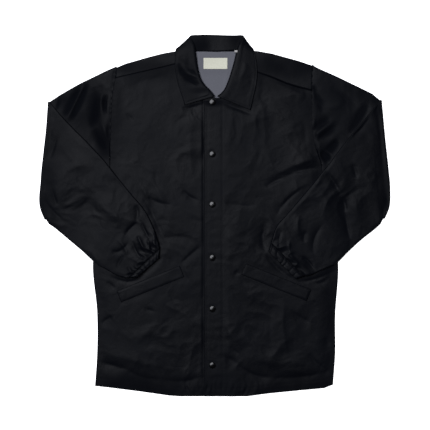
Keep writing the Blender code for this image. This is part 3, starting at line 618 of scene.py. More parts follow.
label = make_label()
x0, y0, x1, y1 = LABEL_PLACE
sewn = sew(
    "label_stitches", [label], [[(x, y0 + 1), (x, y1 - 1)] for x in (x0 + 2, x1 - 2)],
    CREAM_THREAD, pitch=2.2, stitch=1.8, radius=0.16,
)
dress(["neck_label"])

# Fronts: two nylon panels faced along the opening. The wearer's left laps over the right one and its
# facing is topstitched twice; the hem is turned up as a casing and gathered a little at the middle.
FRONT_LEVEL, SIDE_LEVEL, OVERLAP_RISE = 5.0, 2.15, 1.7
FRONT_COLUMNS, FRONT_ROWS = {"right": 118, "left": 124}, 300
NECK_SHARE = 0.36  # of a front's columns that lie along the neck
HEM_CASING = 19
PUCKER, GATHER = 0.42, 0.46  # turn of the ripples along the armhole and along the hem, radians per mm
PLACKET_LINES = (-13, 23)  # x of the two rows of topstitching
PLACKET_SEWN = (262, -402)  # y of their ends
HEM_SEWN = {"right": (-273, -22), "left": (-19, 284)}  # x of the ends of the casing's stitching
FRONT_NECK = {  # x, y from the shoulder seam to the opening edge
    "right": ((-55, 340), (-45, 317), (-32, 297), (-18, 286), (-2, 279), (12, 277), (24, 276)),
    "left": ((68, 330), (56, 305), (42, 287), (28, 279), (12, 274), (-4, 271), (-20, 270)),
}
SNAP_X, SNAP_RADIUS = 0, 7.5
SNAP_Y = (267, 145, 27, -98, -218, -350)
WELT = {  # x, y of the outer lower corner, angle in degrees, length, depth
    "right": (-214, -202, 22.0, 159, 28),
    "left": (221, -199, 158, 165, 28),
}
HOLLOWS = {  # x1, y1, xm, ym, x2, y2, width, height, lean, beside the collar's leaves and the sleeves
    "right": (
        (-72, 251, -42, 257, -10, 268, 8, -2.4, 0.4),
        (-170, 62, -144, 12, -112, -62, 11, -2.4, -0.2),
        (-242, -140, -204, -154, -170, -147, 7, -1.8, 0),
        (-170, -147, -146, -121, -116, -94, 7, -2.2, 0),
    ),
    "left": (
        (20, 268, 56, 253, 95, 239, 9, -3.2, -0.4),
        (122, -20, 119, -56, 126, -88, 10, -2.0, 0),
        (126, -88, 154, -124, 198, -153, 7, -2.2, 0),
        (198, -153, 240, -148, 290, -126, 7, -1.5, 0),
    ),
}
DULL_FRONT = {  # x, y, reach_x, reach_y, amount
    "right": (
        (-236, 250, 22, 80, 0.6), (-190, -402, 130, 28, 1.3),
        (-150, 345, 90, 26, 0.5), (-60, -405, 80, 20, 0.6),
    ),
    "left": (
        (236, 240, 40, 80, 0.4), (2, 266, 20, 8, 1.4), (20, -390, 110, 24, 0.6), (215, -398, 90, 24, 1.0),
        (165, 322, 84, 26, 0.5), (140, 332, 34, 9, 0.9), (180, 318, 34, 9, 0.9), (214, 302, 24, 9, 0.9),
    ),
}
FRONT_CREASES = {  # x1, y1, xm, ym, x2, y2, width, height, lean
    "right": (
        (-246, 291, -250, 268, -248, 242, 8, -1.6, 0.3),
        (-236, 296, -229, 261, -234, 226, 12, 1.4, 0),
        (-201, 301, -147, 320, -95, 329, 19, -1.8, 0.2),
        (-203, 244, -192, 230, -184, 226, 7, -1.2, 0.4),
        (-152, 45, -123, 31, -95, 26, 9, -2.0, 0.5),
        (-69, 61, -53, 45, -32, 38, 9, -2.2, 0.5),
        (-130, 108, -133, 85, -123, 61, 9, -1.2, 0.3),
        (-170, 78, -154, 45, -147, 14, 9, 1.6, 0.4),
        (-147, 96, -128, 61, -114, 2, 16, 1.4, -0.3),
        (-88, 214, -72, 230, -53, 233, 9, -1.0, 0.3),
        (-241, 202, -250, 167, -255, 136, 14, -2.0, 0.2),
        (-79, -115, -53, -92, -25, -68, 7, -2.0, 0.5),
        (-74, -118, -67, -136, -53, -153, 7, -1.5, 0.4),
        (-248, -153, -236, -164, -222, -181, 7, -1.5, 0.4),
        (-264, -256, -250, -244, -234, -235, 9, -2.0, 0.5),
        (-159, -216, -147, -221, -135, -223, 7, -1.2, 0.2),
        (-264, -343, -236, -350, -199, -360, 14, -2.4, 0.4),
        (-199, -360, -166, -378, -123, -383, 14, -2.4, 0.5),
        (-123, -383, -65, -388, -20, -371, 14, -2.6, 0.4),
        (-253, -320, -182, -338, -112, -357, 28, 2.2, -0.3),
        (-123, -280, -100, -303, -81, -320, 19, 1.2, 0),
        (-217, -268, -147, -280, -53, -256, 33, 1.4, 0.1),
        (-123, -56, -81, -47, -41, -56, 19, -1.4, 0.2),
        (-46, 226, -53, 155, -43, 85, 19, 1.2, 0),
    ),
    "left": (
        (257, 113, 206, 106, 166, 89, 10, -2.2, 0.5),
        (166, 89, 145, 80, 126, 68, 8, -2.2, 0.6),
        (248, 136, 201, 122, 140, 94, 19, 2.6, 0.5),
        (213, 66, 177, 38, 149, 0, 9, -2.2, 0.5),
        (229, 80, 187, 54, 159, 19, 14, 1.8, 0.3),
        (107, 26, 65, 24, 22, 31, 9, -1.4, 0.4),
        (194, 96, 199, 61, 217, 38, 14, 1.2, 0),
        (112, 350, 170, 324, 234, 296, 16, -3.0, 0.4),
        (147, 336, 166, 343, 187, 348, 7, -2.0, 0.5),
        (116, 320, 170, 301, 224, 277, 19, 1.8, 0.3),
        (100, 301, 116, 273, 147, 258, 12, -1.0, 0.3),
        (206, 226, 220, 197, 215, 164, 14, -1.4, 0.4),
        (13, -256, 25, -277, 36, -298, 9, -2.2, 0.5),
        (41, -303, 51, -315, 62, -324, 7, -1.6, 0.4),
        (22, -240, 41, -273, 65, -301, 14, 1.8, -0.3),
        (224, -322, 243, -343, 264, -362, 9, -2.0, 0.5),
        (264, -284, 271, -294, 278, -306, 9, -1.6, 0.4),
        (-1, -329, 29, -331, 60, -348, 14, -2.4, 0.4),
        (60, -348, 93, -371, 135, -378, 14, -2.8, 0.5),
        (135, -378, 206, -378, 278, -362, 14, -2.6, 0.4),
        (65, -315, 135, -343, 241, -338, 28, 2.2, -0.3),
        (170, -197, 166, -256, 175, -320, 12, 1.4, 0.3),
        (140, -209, 135, -268, 140, -303, 12, -1.0, 0.2),
        (107, -21, 65, -38, 29, -52, 19, 1.0, 0.1),
        (53, -129, 60, -134, 72, -139, 7, -1.4, 0.3),
        (182, -221, 210, -240, 229, -249, 9, -1.2, 0.3),
        (229, -153, 253, -157, 276, -139, 9, -1.6, 0.4),
        (65, 202, 100, 226, 147, 230, 19, 1.2, 0.1),
        (116, 155, 135, 132, 140, 103, 14, 0.9, 0),
        (130, -21, 116, -52, 116, -85, 16, -2.0, 0.2),
    ),
}


def bell(value, middle, width):
    """A soft bump of height 1 round the middle."""
    return np.exp(-(((value - middle) / width) ** 2))


def welt_frame(side):
    """A slanted pocket welt's outer lower corner, and its directions along and across."""
    corner_x, corner_y, angle = WELT[side][:3]
    turn = math.radians(angle)
    along = np.array((math.cos(turn), math.sin(turn)))
    across = np.array((-along[1], along[0])) * (1 if side == "right" else -1)
    return np.array((corner_x, corner_y)), along, across


def from_snaps(x, y):
    """Distance from the middle of the nearest snap."""
    return np.min([np.hypot(x - SNAP_X, y - snap_y) for snap_y in SNAP_Y], axis=0)


def flat_places(side, x, y):
    """1 where a front is held flat, at snaps, welts, the opening, the seams and under the collar."""
    corner, along, across = welt_frame(side)
    away = np.stack([x, y], axis=-1) - corner
    u, v = away @ along, away @ across
    outside = np.max([-u, u - WELT[side][3], -v, v - WELT[side][4]], axis=0)
    inside = np.abs(x - edge_x(side, y))
    return np.max([
        smooth((17 - from_snaps(x, y)) / 9),
        smooth((14 - outside) / 14),
        smooth((22 - inside) / 20),
        smooth((40 - x) / 14) * smooth((x + 26) / 8) * 0.85,
        smooth((112 - np.abs(x - NECK_CENTRE)) / 14) * smooth((y - 246) / 12),
    ], axis=0)


def front_level(side, x, y):
    """Middle of a front's cloth before its creases."""
    inside = np.abs(x - edge_x(side, y))
    underarm = SIDE_SEAM[side][-1][0]
    edge_level = SIDE_LEVEL + (FRONT_LEVEL - SIDE_LEVEL) * smooth((y - underarm + 20) / 50)
    level = edge_level + (FRONT_LEVEL - edge_level) * smooth(inside / 42)
    level = level + (SHOULDER_LEVEL - FRONT_LEVEL) * smooth((y - 230) / 60)
    above_hem = y - read(HEM, x)
    level = np.minimum(level, SIDE_LEVEL + 0.9 + (level - SIDE_LEVEL) * smooth(above_hem / 50 + 0.25))
    if side == "left":
        level = level + OVERLAP_RISE * smooth((140 - x) / 110)
    return level


def front_details(side, x, y):
    """Low relief of the sewing: the casing's and the facing's seams, and the gathers at the hem."""
    above_hem = y - read(HEM, x)
    relief = -0.3 * bell(above_hem, HEM_CASING, 1.8)
    middle = smooth((120 - np.abs(x - 10)) / 70)
    gathers = np.sin(x * GATHER + 3.4 * mottle(x, y, 24, 41)) * (0.5 + 0.7 * mottle(x, y, 17, 43))
    relief += gathers * bell(above_hem, HEM_CASING, 17) * (0.1 + 1.1 * middle) * smooth(above_hem / 6)
    inside = np.abs(x - edge_x(side, y))
    pucker = np.sin(y * PUCKER + 3 * mottle(x, y, 26, 45)) * (0.6 + 0.5 * mottle(x, y, 19, 47))
    relief += 0.3 * pucker * bell(inside, 0, 9) * smooth((y - SIDE_SEAM[side][-1][0]) / 20)
    relief += creased(x, y, HOLLOWS[side])
    if side == "left":
        for line in PLACKET_LINES:
            relief -= 0.4 * bell(x, line, 1.5) * smooth((above_hem - HEM_CASING) / 4)
        ripple = np.sin(y * 0.31 + 2.5 * mottle(x, y, 40, 51)) * mottle(x, y, 60, 53)
        relief += 0.3 * ripple * bell(x, 8, 20)
    else:
        relief -= 1.1 * bell(x, -21, 3.2)
    return relief - 0.3 * bell(from_snaps(x, y), SNAP_RADIUS + 1, 3)


def front_height(side, x, y):
    """Middle of a front's cloth with all its relief."""
    free = 1 - flat_places(side, x, y)
    folds = creased(x, y, FRONT_CREASES[side]) + crumpled(x, y, 1.5, 61 if side == "left" else 71)
    return front_level(side, x, y) + folds * free + front_details(side, x, y)


def make_front(side):
    """One front, from the opening edge to the side seam and the armhole."""
    neck = FRONT_NECK[side][::-1]
    seam = [(x, y - SEAM_GAP / 2) for x, y, _, _ in reversed(SHOULDER[side])]
    columns = FRONT_COLUMNS[side]
    at_neck = int(columns * NECK_SHARE)
    top = np.concatenate([spread(neck, at_neck), spread([neck[-1], *seam], columns - at_neck + 1)[1:]])
    plan = panel_plan((top[0, 0], SIDE_SEAM[side][0][1]), top, ((side, -1),), FRONT_ROWS)
    x, y = plan[..., 0], plan[..., 1]
    points = np.stack([x, y, front_height(side, x, y)], axis=-1)
    dull = dulled(x, y, DULL_FRONT[side])
    return cloth_piece(f"front_panel_{side}", points, plan, SHELL, SHELL_CLOTH, dull=dull)


fronts = {side: make_front(side) for side in ("right", "left")}
BLACK_THREAD = thread_material("black_thread", (0.0032, 0.0036, 0.0052), 0.6, 0.03)
for side, hem_ends in HEM_SEWN.items():
    rows = [[(x, float(read(HEM, x)) + HEM_CASING) for x in np.linspace(*hem_ends, 30)]]
    if side == "left":
        rows += [[(x, y) for y in PLACKET_SEWN] for x in PLACKET_LINES]
    sewn = sew(f"front_stitches_{side}", [fronts[side]], rows, BLACK_THREAD)
    dress(
        [f"front_{side}"],
    )

# Pocket welts: slanted strips of doubled nylon, set over the pocket mouths and stitched down all
# round. They stand a cloth's thickness above the fronts.
WELT_COLUMNS, WELT_ROWS, WELT_STITCH_INSET = 120, 24, 2.2


def make_welt(side):
    """Welt as a grid along its slant, rounded at its turned edges and hollow along its stitching."""
    corner, along, across = welt_frame(side)
    length, depth = WELT[side][3:]
    u, v = np.meshgrid(np.linspace(0, length, WELT_COLUMNS), np.linspace(0, depth, WELT_ROWS))
    place = corner + u[..., None] * along + v[..., None] * across
    x, y = place[..., 0], place[..., 1]
    inset = np.min([u, length - u, v, depth - v], axis=0)
    relief = 0.75 * smooth(inset / 1.6) - 0.35 * bell(inset, WELT_STITCH_INSET, 0.9)
    relief = relief + 0.45 * mottle(u, v, 26, 81 if side == "right" else 82) * smooth(inset / 6)
    z = rest_on(trees_of(fronts[side]), x, y, 2) + SHELL_CLOTH / 2 + relief
    points, flat = np.stack([x, y, z], axis=-1), np.stack([u, v], axis=-1)
    if side == "left":
        points, flat = points[::-1], flat[::-1]
    return cloth_piece(f"welt_strip_{side}", points, flat, SHELL, SHELL_CLOTH)


def welt_rows(side):
    """The line of stitching round a welt, just inside its edges."""
    corner, along, across = welt_frame(side)
    length, depth = WELT[side][3:]
    i = WELT_STITCH_INSET
    loop = ((i, i), (length - i, i), (length - i, depth - i), (i, depth - i), (i, i))
    loop = [tuple(corner + u * along + v * across) for u, v in loop]
    return [list(pair) for pair in zip(loop, loop[1:])]


welts = {}
for side in ("right", "left"):
    welts[side] = make_welt(side)
    sewn = sew(f"welt_stitches_{side}", [welts[side]], welt_rows(side), BLACK_THREAD)
    dress(
        [f"welt_{side}"],
    )

# Collar: one strip of doubled, interlined nylon sewn into the neck seam. Its stand rises to the roll
# and its fall turns down over the fronts, and at the back it is tucked behind the neck.
COLLAR_CLOTH = 0.9
ROLL_DEPTH = 1.8
COLLAR_COLUMNS = 330
COLLAR_SOFTENED = 13  # columns over which the table's corners are rounded
COLLAR_STITCH_INSET = 5
COLLAR = (  # seam_x, seam_y, roll_x, roll_y, edge_x, edge_y, levels
    (-3, 281, 6, 281, -65, 260, "front"),
    (-16, 287, -4, 294, -69, 273, "front"),
    (-30, 298, -18, 307, -76, 293, "front"),
    (-44, 318, -28, 323, -83, 316, "front"),
    (-53, 340, -34, 346, -88, 345, "front"),
    (-57, 362, -38, 378, -88, 369, "front"),
    (-52, 374, -41, 401, -88, 384, "front"),
    (-48, 388, -54, 423, -85, 395, "corner"),
    (-41, 388, -46, 425, -72, 391, "back"),
    (-33, 387, -36, 425, -54, 379, "back"),
    (-20, 386.5, -18, 426, -26, 369, "back"),
    (9, 385, 10, 425, 9, 367, "back"),
    (36, 387, 40, 424, 46, 369, "back"),
    (48, 388, 58, 424, 66, 382, "back"),
    (57, 389, 66, 425, 82, 392, "back"),
    (66, 388, 75, 423, 94, 396, "corner"),
    (66, 373, 61, 403, 99, 384, "front"),
    (69, 358, 55, 381, 104, 358, "front"),
    (69, 340, 48, 352, 106, 330, "front"),
    (61, 318, 38, 320, 103, 305, "front"),
    (48, 299, 29, 298, 98, 284, "front"),
    (33, 285, 20, 287, 94, 266, "front"),
    (18, 276, 11, 281, 90, 248, "front"),
)
COLLAR_LEVELS = {  # at_seam, near_roll, roll, fall, fall_edge
    "front": (7.1, 7.0, 8.6, 10.0, 8.2),
    "corner": (5.4, 4.4, 4.6, 4.8, 4.3),
    "back": (4.3, 3.4, 2.3, 0.9, 0.5),
}
DULL_COLLAR = ((-28, 405, 20, 24, 1.0), (58, 405, 20, 24, 1.0))  # x, y, reach_x, reach_y, amount
DULL_LEAVES = (  # x, y, reach_x, reach_y, amount
    (-60, 356, 5, 16, 0.5), (-86, 290, 8, 26, 0.5), (-30, 294, 20, 6, 0.6),
)
COLLAR_ACROSS = (0, 14, 27, 30, 33, 50, 70, 92)  # places of the strip's knots from seam to edge
COLLAR_ROLL, COLLAR_DEPTH = 30, 92
COLLAR_CREASES = (  # x1, y1, xm, ym, x2, y2, width, height, lean
    (-67, 329, -53, 317, -32, 306, 7, -2.0, 0.6),
    (-58, 331, -46, 324, -29, 320, 6, -1.4, 0.4),
    (-62, 320, -48, 310, -29, 298, 7, 1.4, -0.3),
    (-20, 423, -11, 409, 1, 388, 7, -1.6, 0.5),
    (-76, 376, -67, 362, -53, 352, 9, -1.0, 0.3),
    (53, 414, 60, 404, 55, 390, 7, -1.2, 0.4),
    (79, 362, 74, 338, 60, 310, 12, 0.9, 0.2),
    (-29, 291, -15, 296, -6, 289, 7, -1.0, 0.3),
    (93, 331, 88, 301, 79, 277, 12, -0.9, 0.3),
    (-60, 343, -46, 337, -31, 324, 6, -2.2, 0.3),
    (-76, 350, -56, 324, -28, 308, 8, -2.8, 0.3),
    (-78, 358, -74, 342, -66, 328, 6, -1.8, 0.2),
    (-60, 335, -47, 330, -30, 317, 6, 0.9, 0),
    (-20, 424, -8, 408, 0, 392, 5, -2.0, 0.3),
)


def softened(rows, window):
    """Each column's running mean over a window of rows, where the whole window fits."""
    return np.stack([np.convolve(column, np.ones(window) / window, "valid") for column in rows.T], axis=-1)


def make_collar():
    """Collar as a strip: each column runs from the neck seam over the roll to the outer edge."""
    at = np.linspace(0, len(COLLAR) - 1, COLLAR_COLUMNS)
    table = np.array([(*row[:6], *COLLAR_LEVELS[row[6]]) for row in COLLAR], float)
    rows = np.stack([np.interp(at, np.arange(len(COLLAR)), column) for column in table.T], axis=-1)
    beyond = COLLAR_SOFTENED // 2
    before, after = 2 * rows[:1] - rows[beyond:0:-1], 2 * rows[-1:] - rows[-2:-beyond - 2:-1]
    rows = softened(np.concatenate([before, rows, after]), COLLAR_SOFTENED)
    seam, roll, edge, level = rows[:, 0:2], rows[:, 2:4], rows[:, 4:6], rows[:, 6:].T
    stand = (seam - roll) / np.hypot(*(seam - roll).T)[:, None]
    fall = (edge - roll) / np.hypot(*(edge - roll).T)[:, None]
    knots = [
        (seam, level[0]),
        (seam * 0.5 + roll * 0.5, level[0] * 0.5 + level[1] * 0.5),
        (roll + stand * ROLL_DEPTH, level[1]),
        (roll, level[2]),
        (roll + fall * ROLL_DEPTH, level[3]),
        (roll * 0.67 + edge * 0.33, level[3]),
        (roll * 0.33 + edge * 0.67, level[3] * 0.5 + level[4] * 0.5),
        (edge, level[4]),
    ]
    knots = np.array([np.concatenate([place, height[:, None]], axis=1) for place, height in knots])
    stand_end, fall_start = COLLAR_ROLL - 4, COLLAR_ROLL + 4
    v = np.concatenate([
        np.linspace(0, stand_end, 10)[:-1],
        np.linspace(stand_end, fall_start, 10)[:-1],
        np.linspace(fall_start, COLLAR_DEPTH, 26),
    ])
    points = through(v, COLLAR_ACROSS, knots.reshape(len(knots), -1)).reshape(len(v), -1, 3)
    v = v[:, None]
    x, y = points[..., 0], points[..., 1]
    along = np.concatenate([[0], np.cumsum(np.hypot(*np.diff(edge, axis=0).T))])
    inset = np.minimum(COLLAR_DEPTH - v, np.minimum(along, along[-1] - along)[None, :])
    leaf = smooth((v - COLLAR_ROLL - 6) / 10) * smooth((level[3] - 6) / 3)
    creases = creased(x, y, COLLAR_CREASES)
    relief = (creases + crumpled(x, y, 0.8, 91)) * leaf * smooth(inset / 8)
    relief = relief - 0.35 * leaf * bell(inset, COLLAR_STITCH_INSET, 1.3)
    inner = smooth((24 - v) / 8) * smooth((5 - level[1]) / 1.5)
    points[..., 2] += relief + np.maximum(creases * inner * 0.5, -0.5)
    points[..., 2] = np.maximum(points[..., 2], COLLAR_CLOTH / 2 + 0.05)
    flat = np.stack([np.broadcast_to(along, x.shape), np.broadcast_to(v, x.shape)], axis=-1)
    pressed = np.clip(-creases / 1.3 - 0.5, 0, 1.5)
    on_leaf = 0.25 * smooth((-20 - x) / 20) + dulled(x, y, DULL_LEAVES) + pressed
    on_stand = dulled(x, y, DULL_COLLAR) * smooth((COLLAR_ROLL - v) / 4)
    dull = np.maximum(on_stand, on_leaf * smooth((v - COLLAR_ROLL) / 4))
    return cloth_piece("collar_strip", points, flat, SHELL, COLLAR_CLOTH, dull=dull), points, inset


collar, collar_points, collar_inset = make_collar()
leaf_row = int(np.argmin(np.abs(collar_inset[:, COLLAR_COLUMNS // 2] - COLLAR_STITCH_INSET)))
leaf_columns = COLLAR_COLUMNS // 3 - 12
leaf_line, front_edges = collar_points[leaf_row, :, :2], collar_points[24:leaf_row, :, :2]
collar_lines = [
    leaf_line[4:leaf_columns], leaf_line[COLLAR_COLUMNS - leaf_columns:-4],
    front_edges[:, 2], front_edges[:, -3],
]
sewn = sew("collar_stitches", [collar], collar_lines, BLACK_THREAD)
dress(
    ["collar"],
)

# Size tab: a tiny white woven loop caught in the neck seam beside the label, bare.
TAB_PLACE = (51.5, 383, 58.5, 388)  # x, y of two corners
TAB = woven_material("white_tab", (0.30, 0.29, 0.28), (0.38, 0.37, 0.36), 0.0004, 0.75, 0.3, 0.05, 12.0)


def make_tab():
    """Tab as a small stiff grid across the stand and the edge of the left leaf."""
    x0, y0, x1, y1 = TAB_PLACE
    x, y = np.meshgrid(np.linspace(x0, x1, 14), np.linspace(y0, y1, 12))
    z = rest_on(trees_of(collar), x, y, 1.5).max() + 0.3 + 0.25 * smooth((y1 - y) / 4)
    return laid_piece("size_tab_loop", x, y, z, TAB, 0.5)


tab = make_tab()
dress(["size_tab"])

# Snaps: six domed caps of glossy black plastic on the over front, each riveted through the facing
# to its socket. They stay shut.
SNAP_RIM = (  # share of the radius, height
    (0.0, 0.0), (0.93, 0.0), (0.985, 0.1), (1.0, 0.3),
    (0.99, 0.6), (0.965, 0.82), (0.925, 1.02), (0.885, 1.16),
)
SNAP_DOME = [(share, 1.25 + 0.65 * (1 - (share / 0.85) ** 2)) for share in np.linspace(0.85, 0, 13)]
SNAP_PROFILE = [*SNAP_RIM, *SNAP_DOME]
SNAP_SIDES = 56


def snap_material():
    """Polished black plastic with faint scuffs."""
    material, tree, shader = new_material("black_snap")
    sizes = {"Crease Size": 900, "Patch Size": 300}
    handled = add_node(tree, "ShaderNodeGroup", sizes, node_tree=HANDLED).outputs
    scuffs = {"Value": handled["Patches"], "To Min": 0.14, "To Max": 0.22}
    set_inputs(tree, shader, {
        "Base Color": (0.0008, 0.0008, 0.001, 1),
        "Specular IOR Level": 0.17,
        "Roughness": add_node(tree, "ShaderNodeMapRange", scuffs).outputs["Result"],
        "Normal": bumped(tree, handled["Creases"], 0.000001),
    })
    return material


SNAP_PLASTIC = snap_material()


def make_snap(number, y, trees):
    """A snap cap turned from its profile, closed at the bottom and the crown."""
    around = np.linspace(0, 2 * math.pi, SNAP_SIDES, endpoint=False)

    def ring(share, angles):
        reach = SNAP_RADIUS * share
        return [(SNAP_X + reach * math.cos(a), y + reach * math.sin(a)) for a in angles]

    rim = max(top_of(trees, *place) for place in ring(1, around[::4]))
    base = max(rim, top_of(trees, SNAP_X, y)) + 0.1
    points, faces = [(SNAP_X, y, base)], []
    for share, height in SNAP_PROFILE[1:-1]:
        points += [(*place, base + height) for place in ring(share, around)]
    points.append((SNAP_X, y, base + SNAP_PROFILE[-1][1]))
    rings = len(SNAP_PROFILE) - 2
    last = 1 + (rings - 1) * SNAP_SIDES
    for k in range(SNAP_SIDES):
        n = (k + 1) % SNAP_SIDES
        faces.append((0, 1 + n, 1 + k))
        for low in range(1, last, SNAP_SIDES):
            high = low + SNAP_SIDES
            faces.append((low + k, low + n, high + n, high + k))
        faces.append((last + k, last + n, len(points) - 1))
    mesh = bpy.data.meshes.new(f"snap_cap_{number}")
    mesh.from_pydata([tuple(c * MM for c in p) for p in points], [], faces)
    mesh.materials.append(SNAP_PLASTIC)
    mesh.shade_smooth()
    piece = add_object(f"snap_cap_{number}", mesh)
    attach(piece, "root")
    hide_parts(f"snap_{number}")


front_trees = trees_of(fronts["left"])
for number, snap_y in enumerate(SNAP_Y, 1):
    make_snap(number, snap_y, front_trees)

# Sleeves: one tube of nylon each, set into the armhole. The upper arm lies flat out to the elbow and
# the forearm is folded back in over it and over the fronts, puffed where the cuff gathers it.
SEAM, SEAM_LEVEL, ARMHOLE_LAP = 0.95, 3.3, 3.0
PINCHED, PINCHED_HALF = ((2.5, 7), (-0.6, 3)), 0.36  # inward, inset at both ends of the armhole
SLEEVE_ACROSS = 92
HEAD_HALF, FOREARM_HALF, WRIST_HALF, FOLD_HALF = 2.5, 2.2, 3.9, 1.5
UPPER_HALVES, UPPER_BOWS = (2.8, 2.3, 2.2, FOLD_HALF), (0.7, 0.3, 0, 0)
UPPER_RINGS, FOLD_RINGS, BETWEEN_RINGS, FOREARM_RINGS = 56, 12, 10, 150
LEVELLED, LEVEL_WINDOW = 50, 33  # rings of the forearm that are levelled past the fold, and over how many
PUFFED_RINGS = 40
DRAPE_CELL, DRAPE_SPREAD, DRAPE_SOFTEN = 5.0, 6, 4
OUTWARD = {"right": -1, "left": 1}
UPPER_ARM = {  # top_x, top_y, low_x, low_y
    "right": ((-246, 343, -247, 104), (-274, 329, -290, 95), (-316, 308, -330, 65), (-358, 284, -372, 34)),
    "left": ((248, 348, 263, 95), (290, 329, 300, 90), (332, 308, 340, 66), (375, 287, 380, 36)),
}
FOLD_EDGE = {  # y, x
    "right": ((-8, -394), (14, -403), (85, -403), (155, -396), (200, -391), (268, -386)),
    "left": ((-6, 404), (18, 414), (60, 417), (110, 413), (175, 406), (272, 397)),
}
FOREARM = {  # up_x, up_y, low_x, low_y
    "right": (
        (-362, 243, -384, -18), (-332, 211, -366, -31), (-294, 173, -334, -58), (-255, 131, -303, -84),
        (-220, 87, -273, -111), (-187, 47, -247, -126), (-160, 15, -226, -138), (-142, -18, -211, -143),
        (-130, -49, -203, -145), (-123, -74, -197, -144),
    ),
    "left": (
        (374, 247, 394, -18), (344, 212, 379, -32), (308, 168, 350, -55), (270, 118, 319, -83),
        (236, 76, 291, -110), (203, 37, 268, -121), (174, 3, 248, -130), (153, -20, 235, -136),
        (143, -42, 224, -139), (137, -62, 215, -141),
    ),
}
DULL_UPPER = {  # x, y, reach_x, reach_y, amount
    "right": (
        (-274, 226, 18, 46, 0.9), (-252, 168, 22, 32, 1.0), (-262, 268, 12, 40, 0.6),
        (-352, 268, 14, 20, 0.6), (-300, 244, 66, 70, 0.45),
    ),
    "left": (
        (285, 250, 60, 66, 0.4), (264, 139, 11, 9, 2.2), (262, 185, 34, 44, 0.45),
        (350, 300, 46, 30, 0.8), (382, 276, 12, 16, 1.0),
    ),
}
DULL_FOREARM = {  # x, y, reach_x, reach_y, amount
    "right": ((-392, 60, 26, 70, 0.6), (-372, 180, 34, 46, 0.4), (-215, -120, 60, 20, 0.4)),
    "left": (
        (352, 190, 44, 70, 0.45), (402, 60, 18, 60, 0.4), (404, 34, 6, 22, 1.6), (396, 246, 12, 24, 1.0),
    ),
}
UPPER_CREASES = {  # x1, y1, xm, ym, x2, y2, width, height, lean
    "right": (
        (-291, 312, -312, 266, -333, 220, 10, -4.2, 0.5),
        (-300, 309, -321, 268, -341, 226, 6, 2.4, 0),
        (-309, 305, -330, 266, -350, 232, 9, -3.4, 0.3),
        (-357, 280, -362, 262, -368, 244, 8, -2.0, 0.2),
        (-279, 305, -272, 255, -290, 205, 22, -3.0, 0.2),
        (-246, 286, -252, 262, -249, 236, 6, -2.4, 0.4),
        (-256, 290, -262, 264, -258, 232, 9, 2.0, 0),
        (-277, 207, -264, 181, -248, 152, 13, -3.0, 0.3),
        (-262, 222, -252, 198, -246, 172, 9, 1.8, 0),
    ),
    "left": (
        (206, 310, 229, 306, 248, 289, 9, -2.6, 0.4),
        (246, 263, 255, 254, 257, 242, 7, -1.6, 0.4),
        (276, 230, 255, 216, 220, 193, 9, -3.0, 0.6),
        (293, 212, 271, 193, 243, 176, 9, -2.8, 0.5),
        (286, 223, 257, 202, 224, 176, 9, 3.0, -0.3),
        (217, 179, 234, 164, 253, 155, 14, 2.2, 0.2),
        (295, 174, 286, 160, 276, 148, 7, -3.0, 0.4),
        (311, 273, 288, 258, 264, 254, 19, 1.6, 0),
        (276, 301, 311, 280, 342, 249, 19, -1.6, 0.3),
        (253, 146, 264, 140, 275, 133, 5, -8.0, 0),
        (260, 150, 265, 139, 268, 129, 5, -6.0, 0),
        (368, 262, 346, 226, 322, 192, 9, -3.6, 0.5),
        (262, 153, 278, 162, 293, 180, 7, -2.8, 0.4),
        (241, 291, 250, 275, 264, 256, 9, -2.2, 0.3),
    ),
}
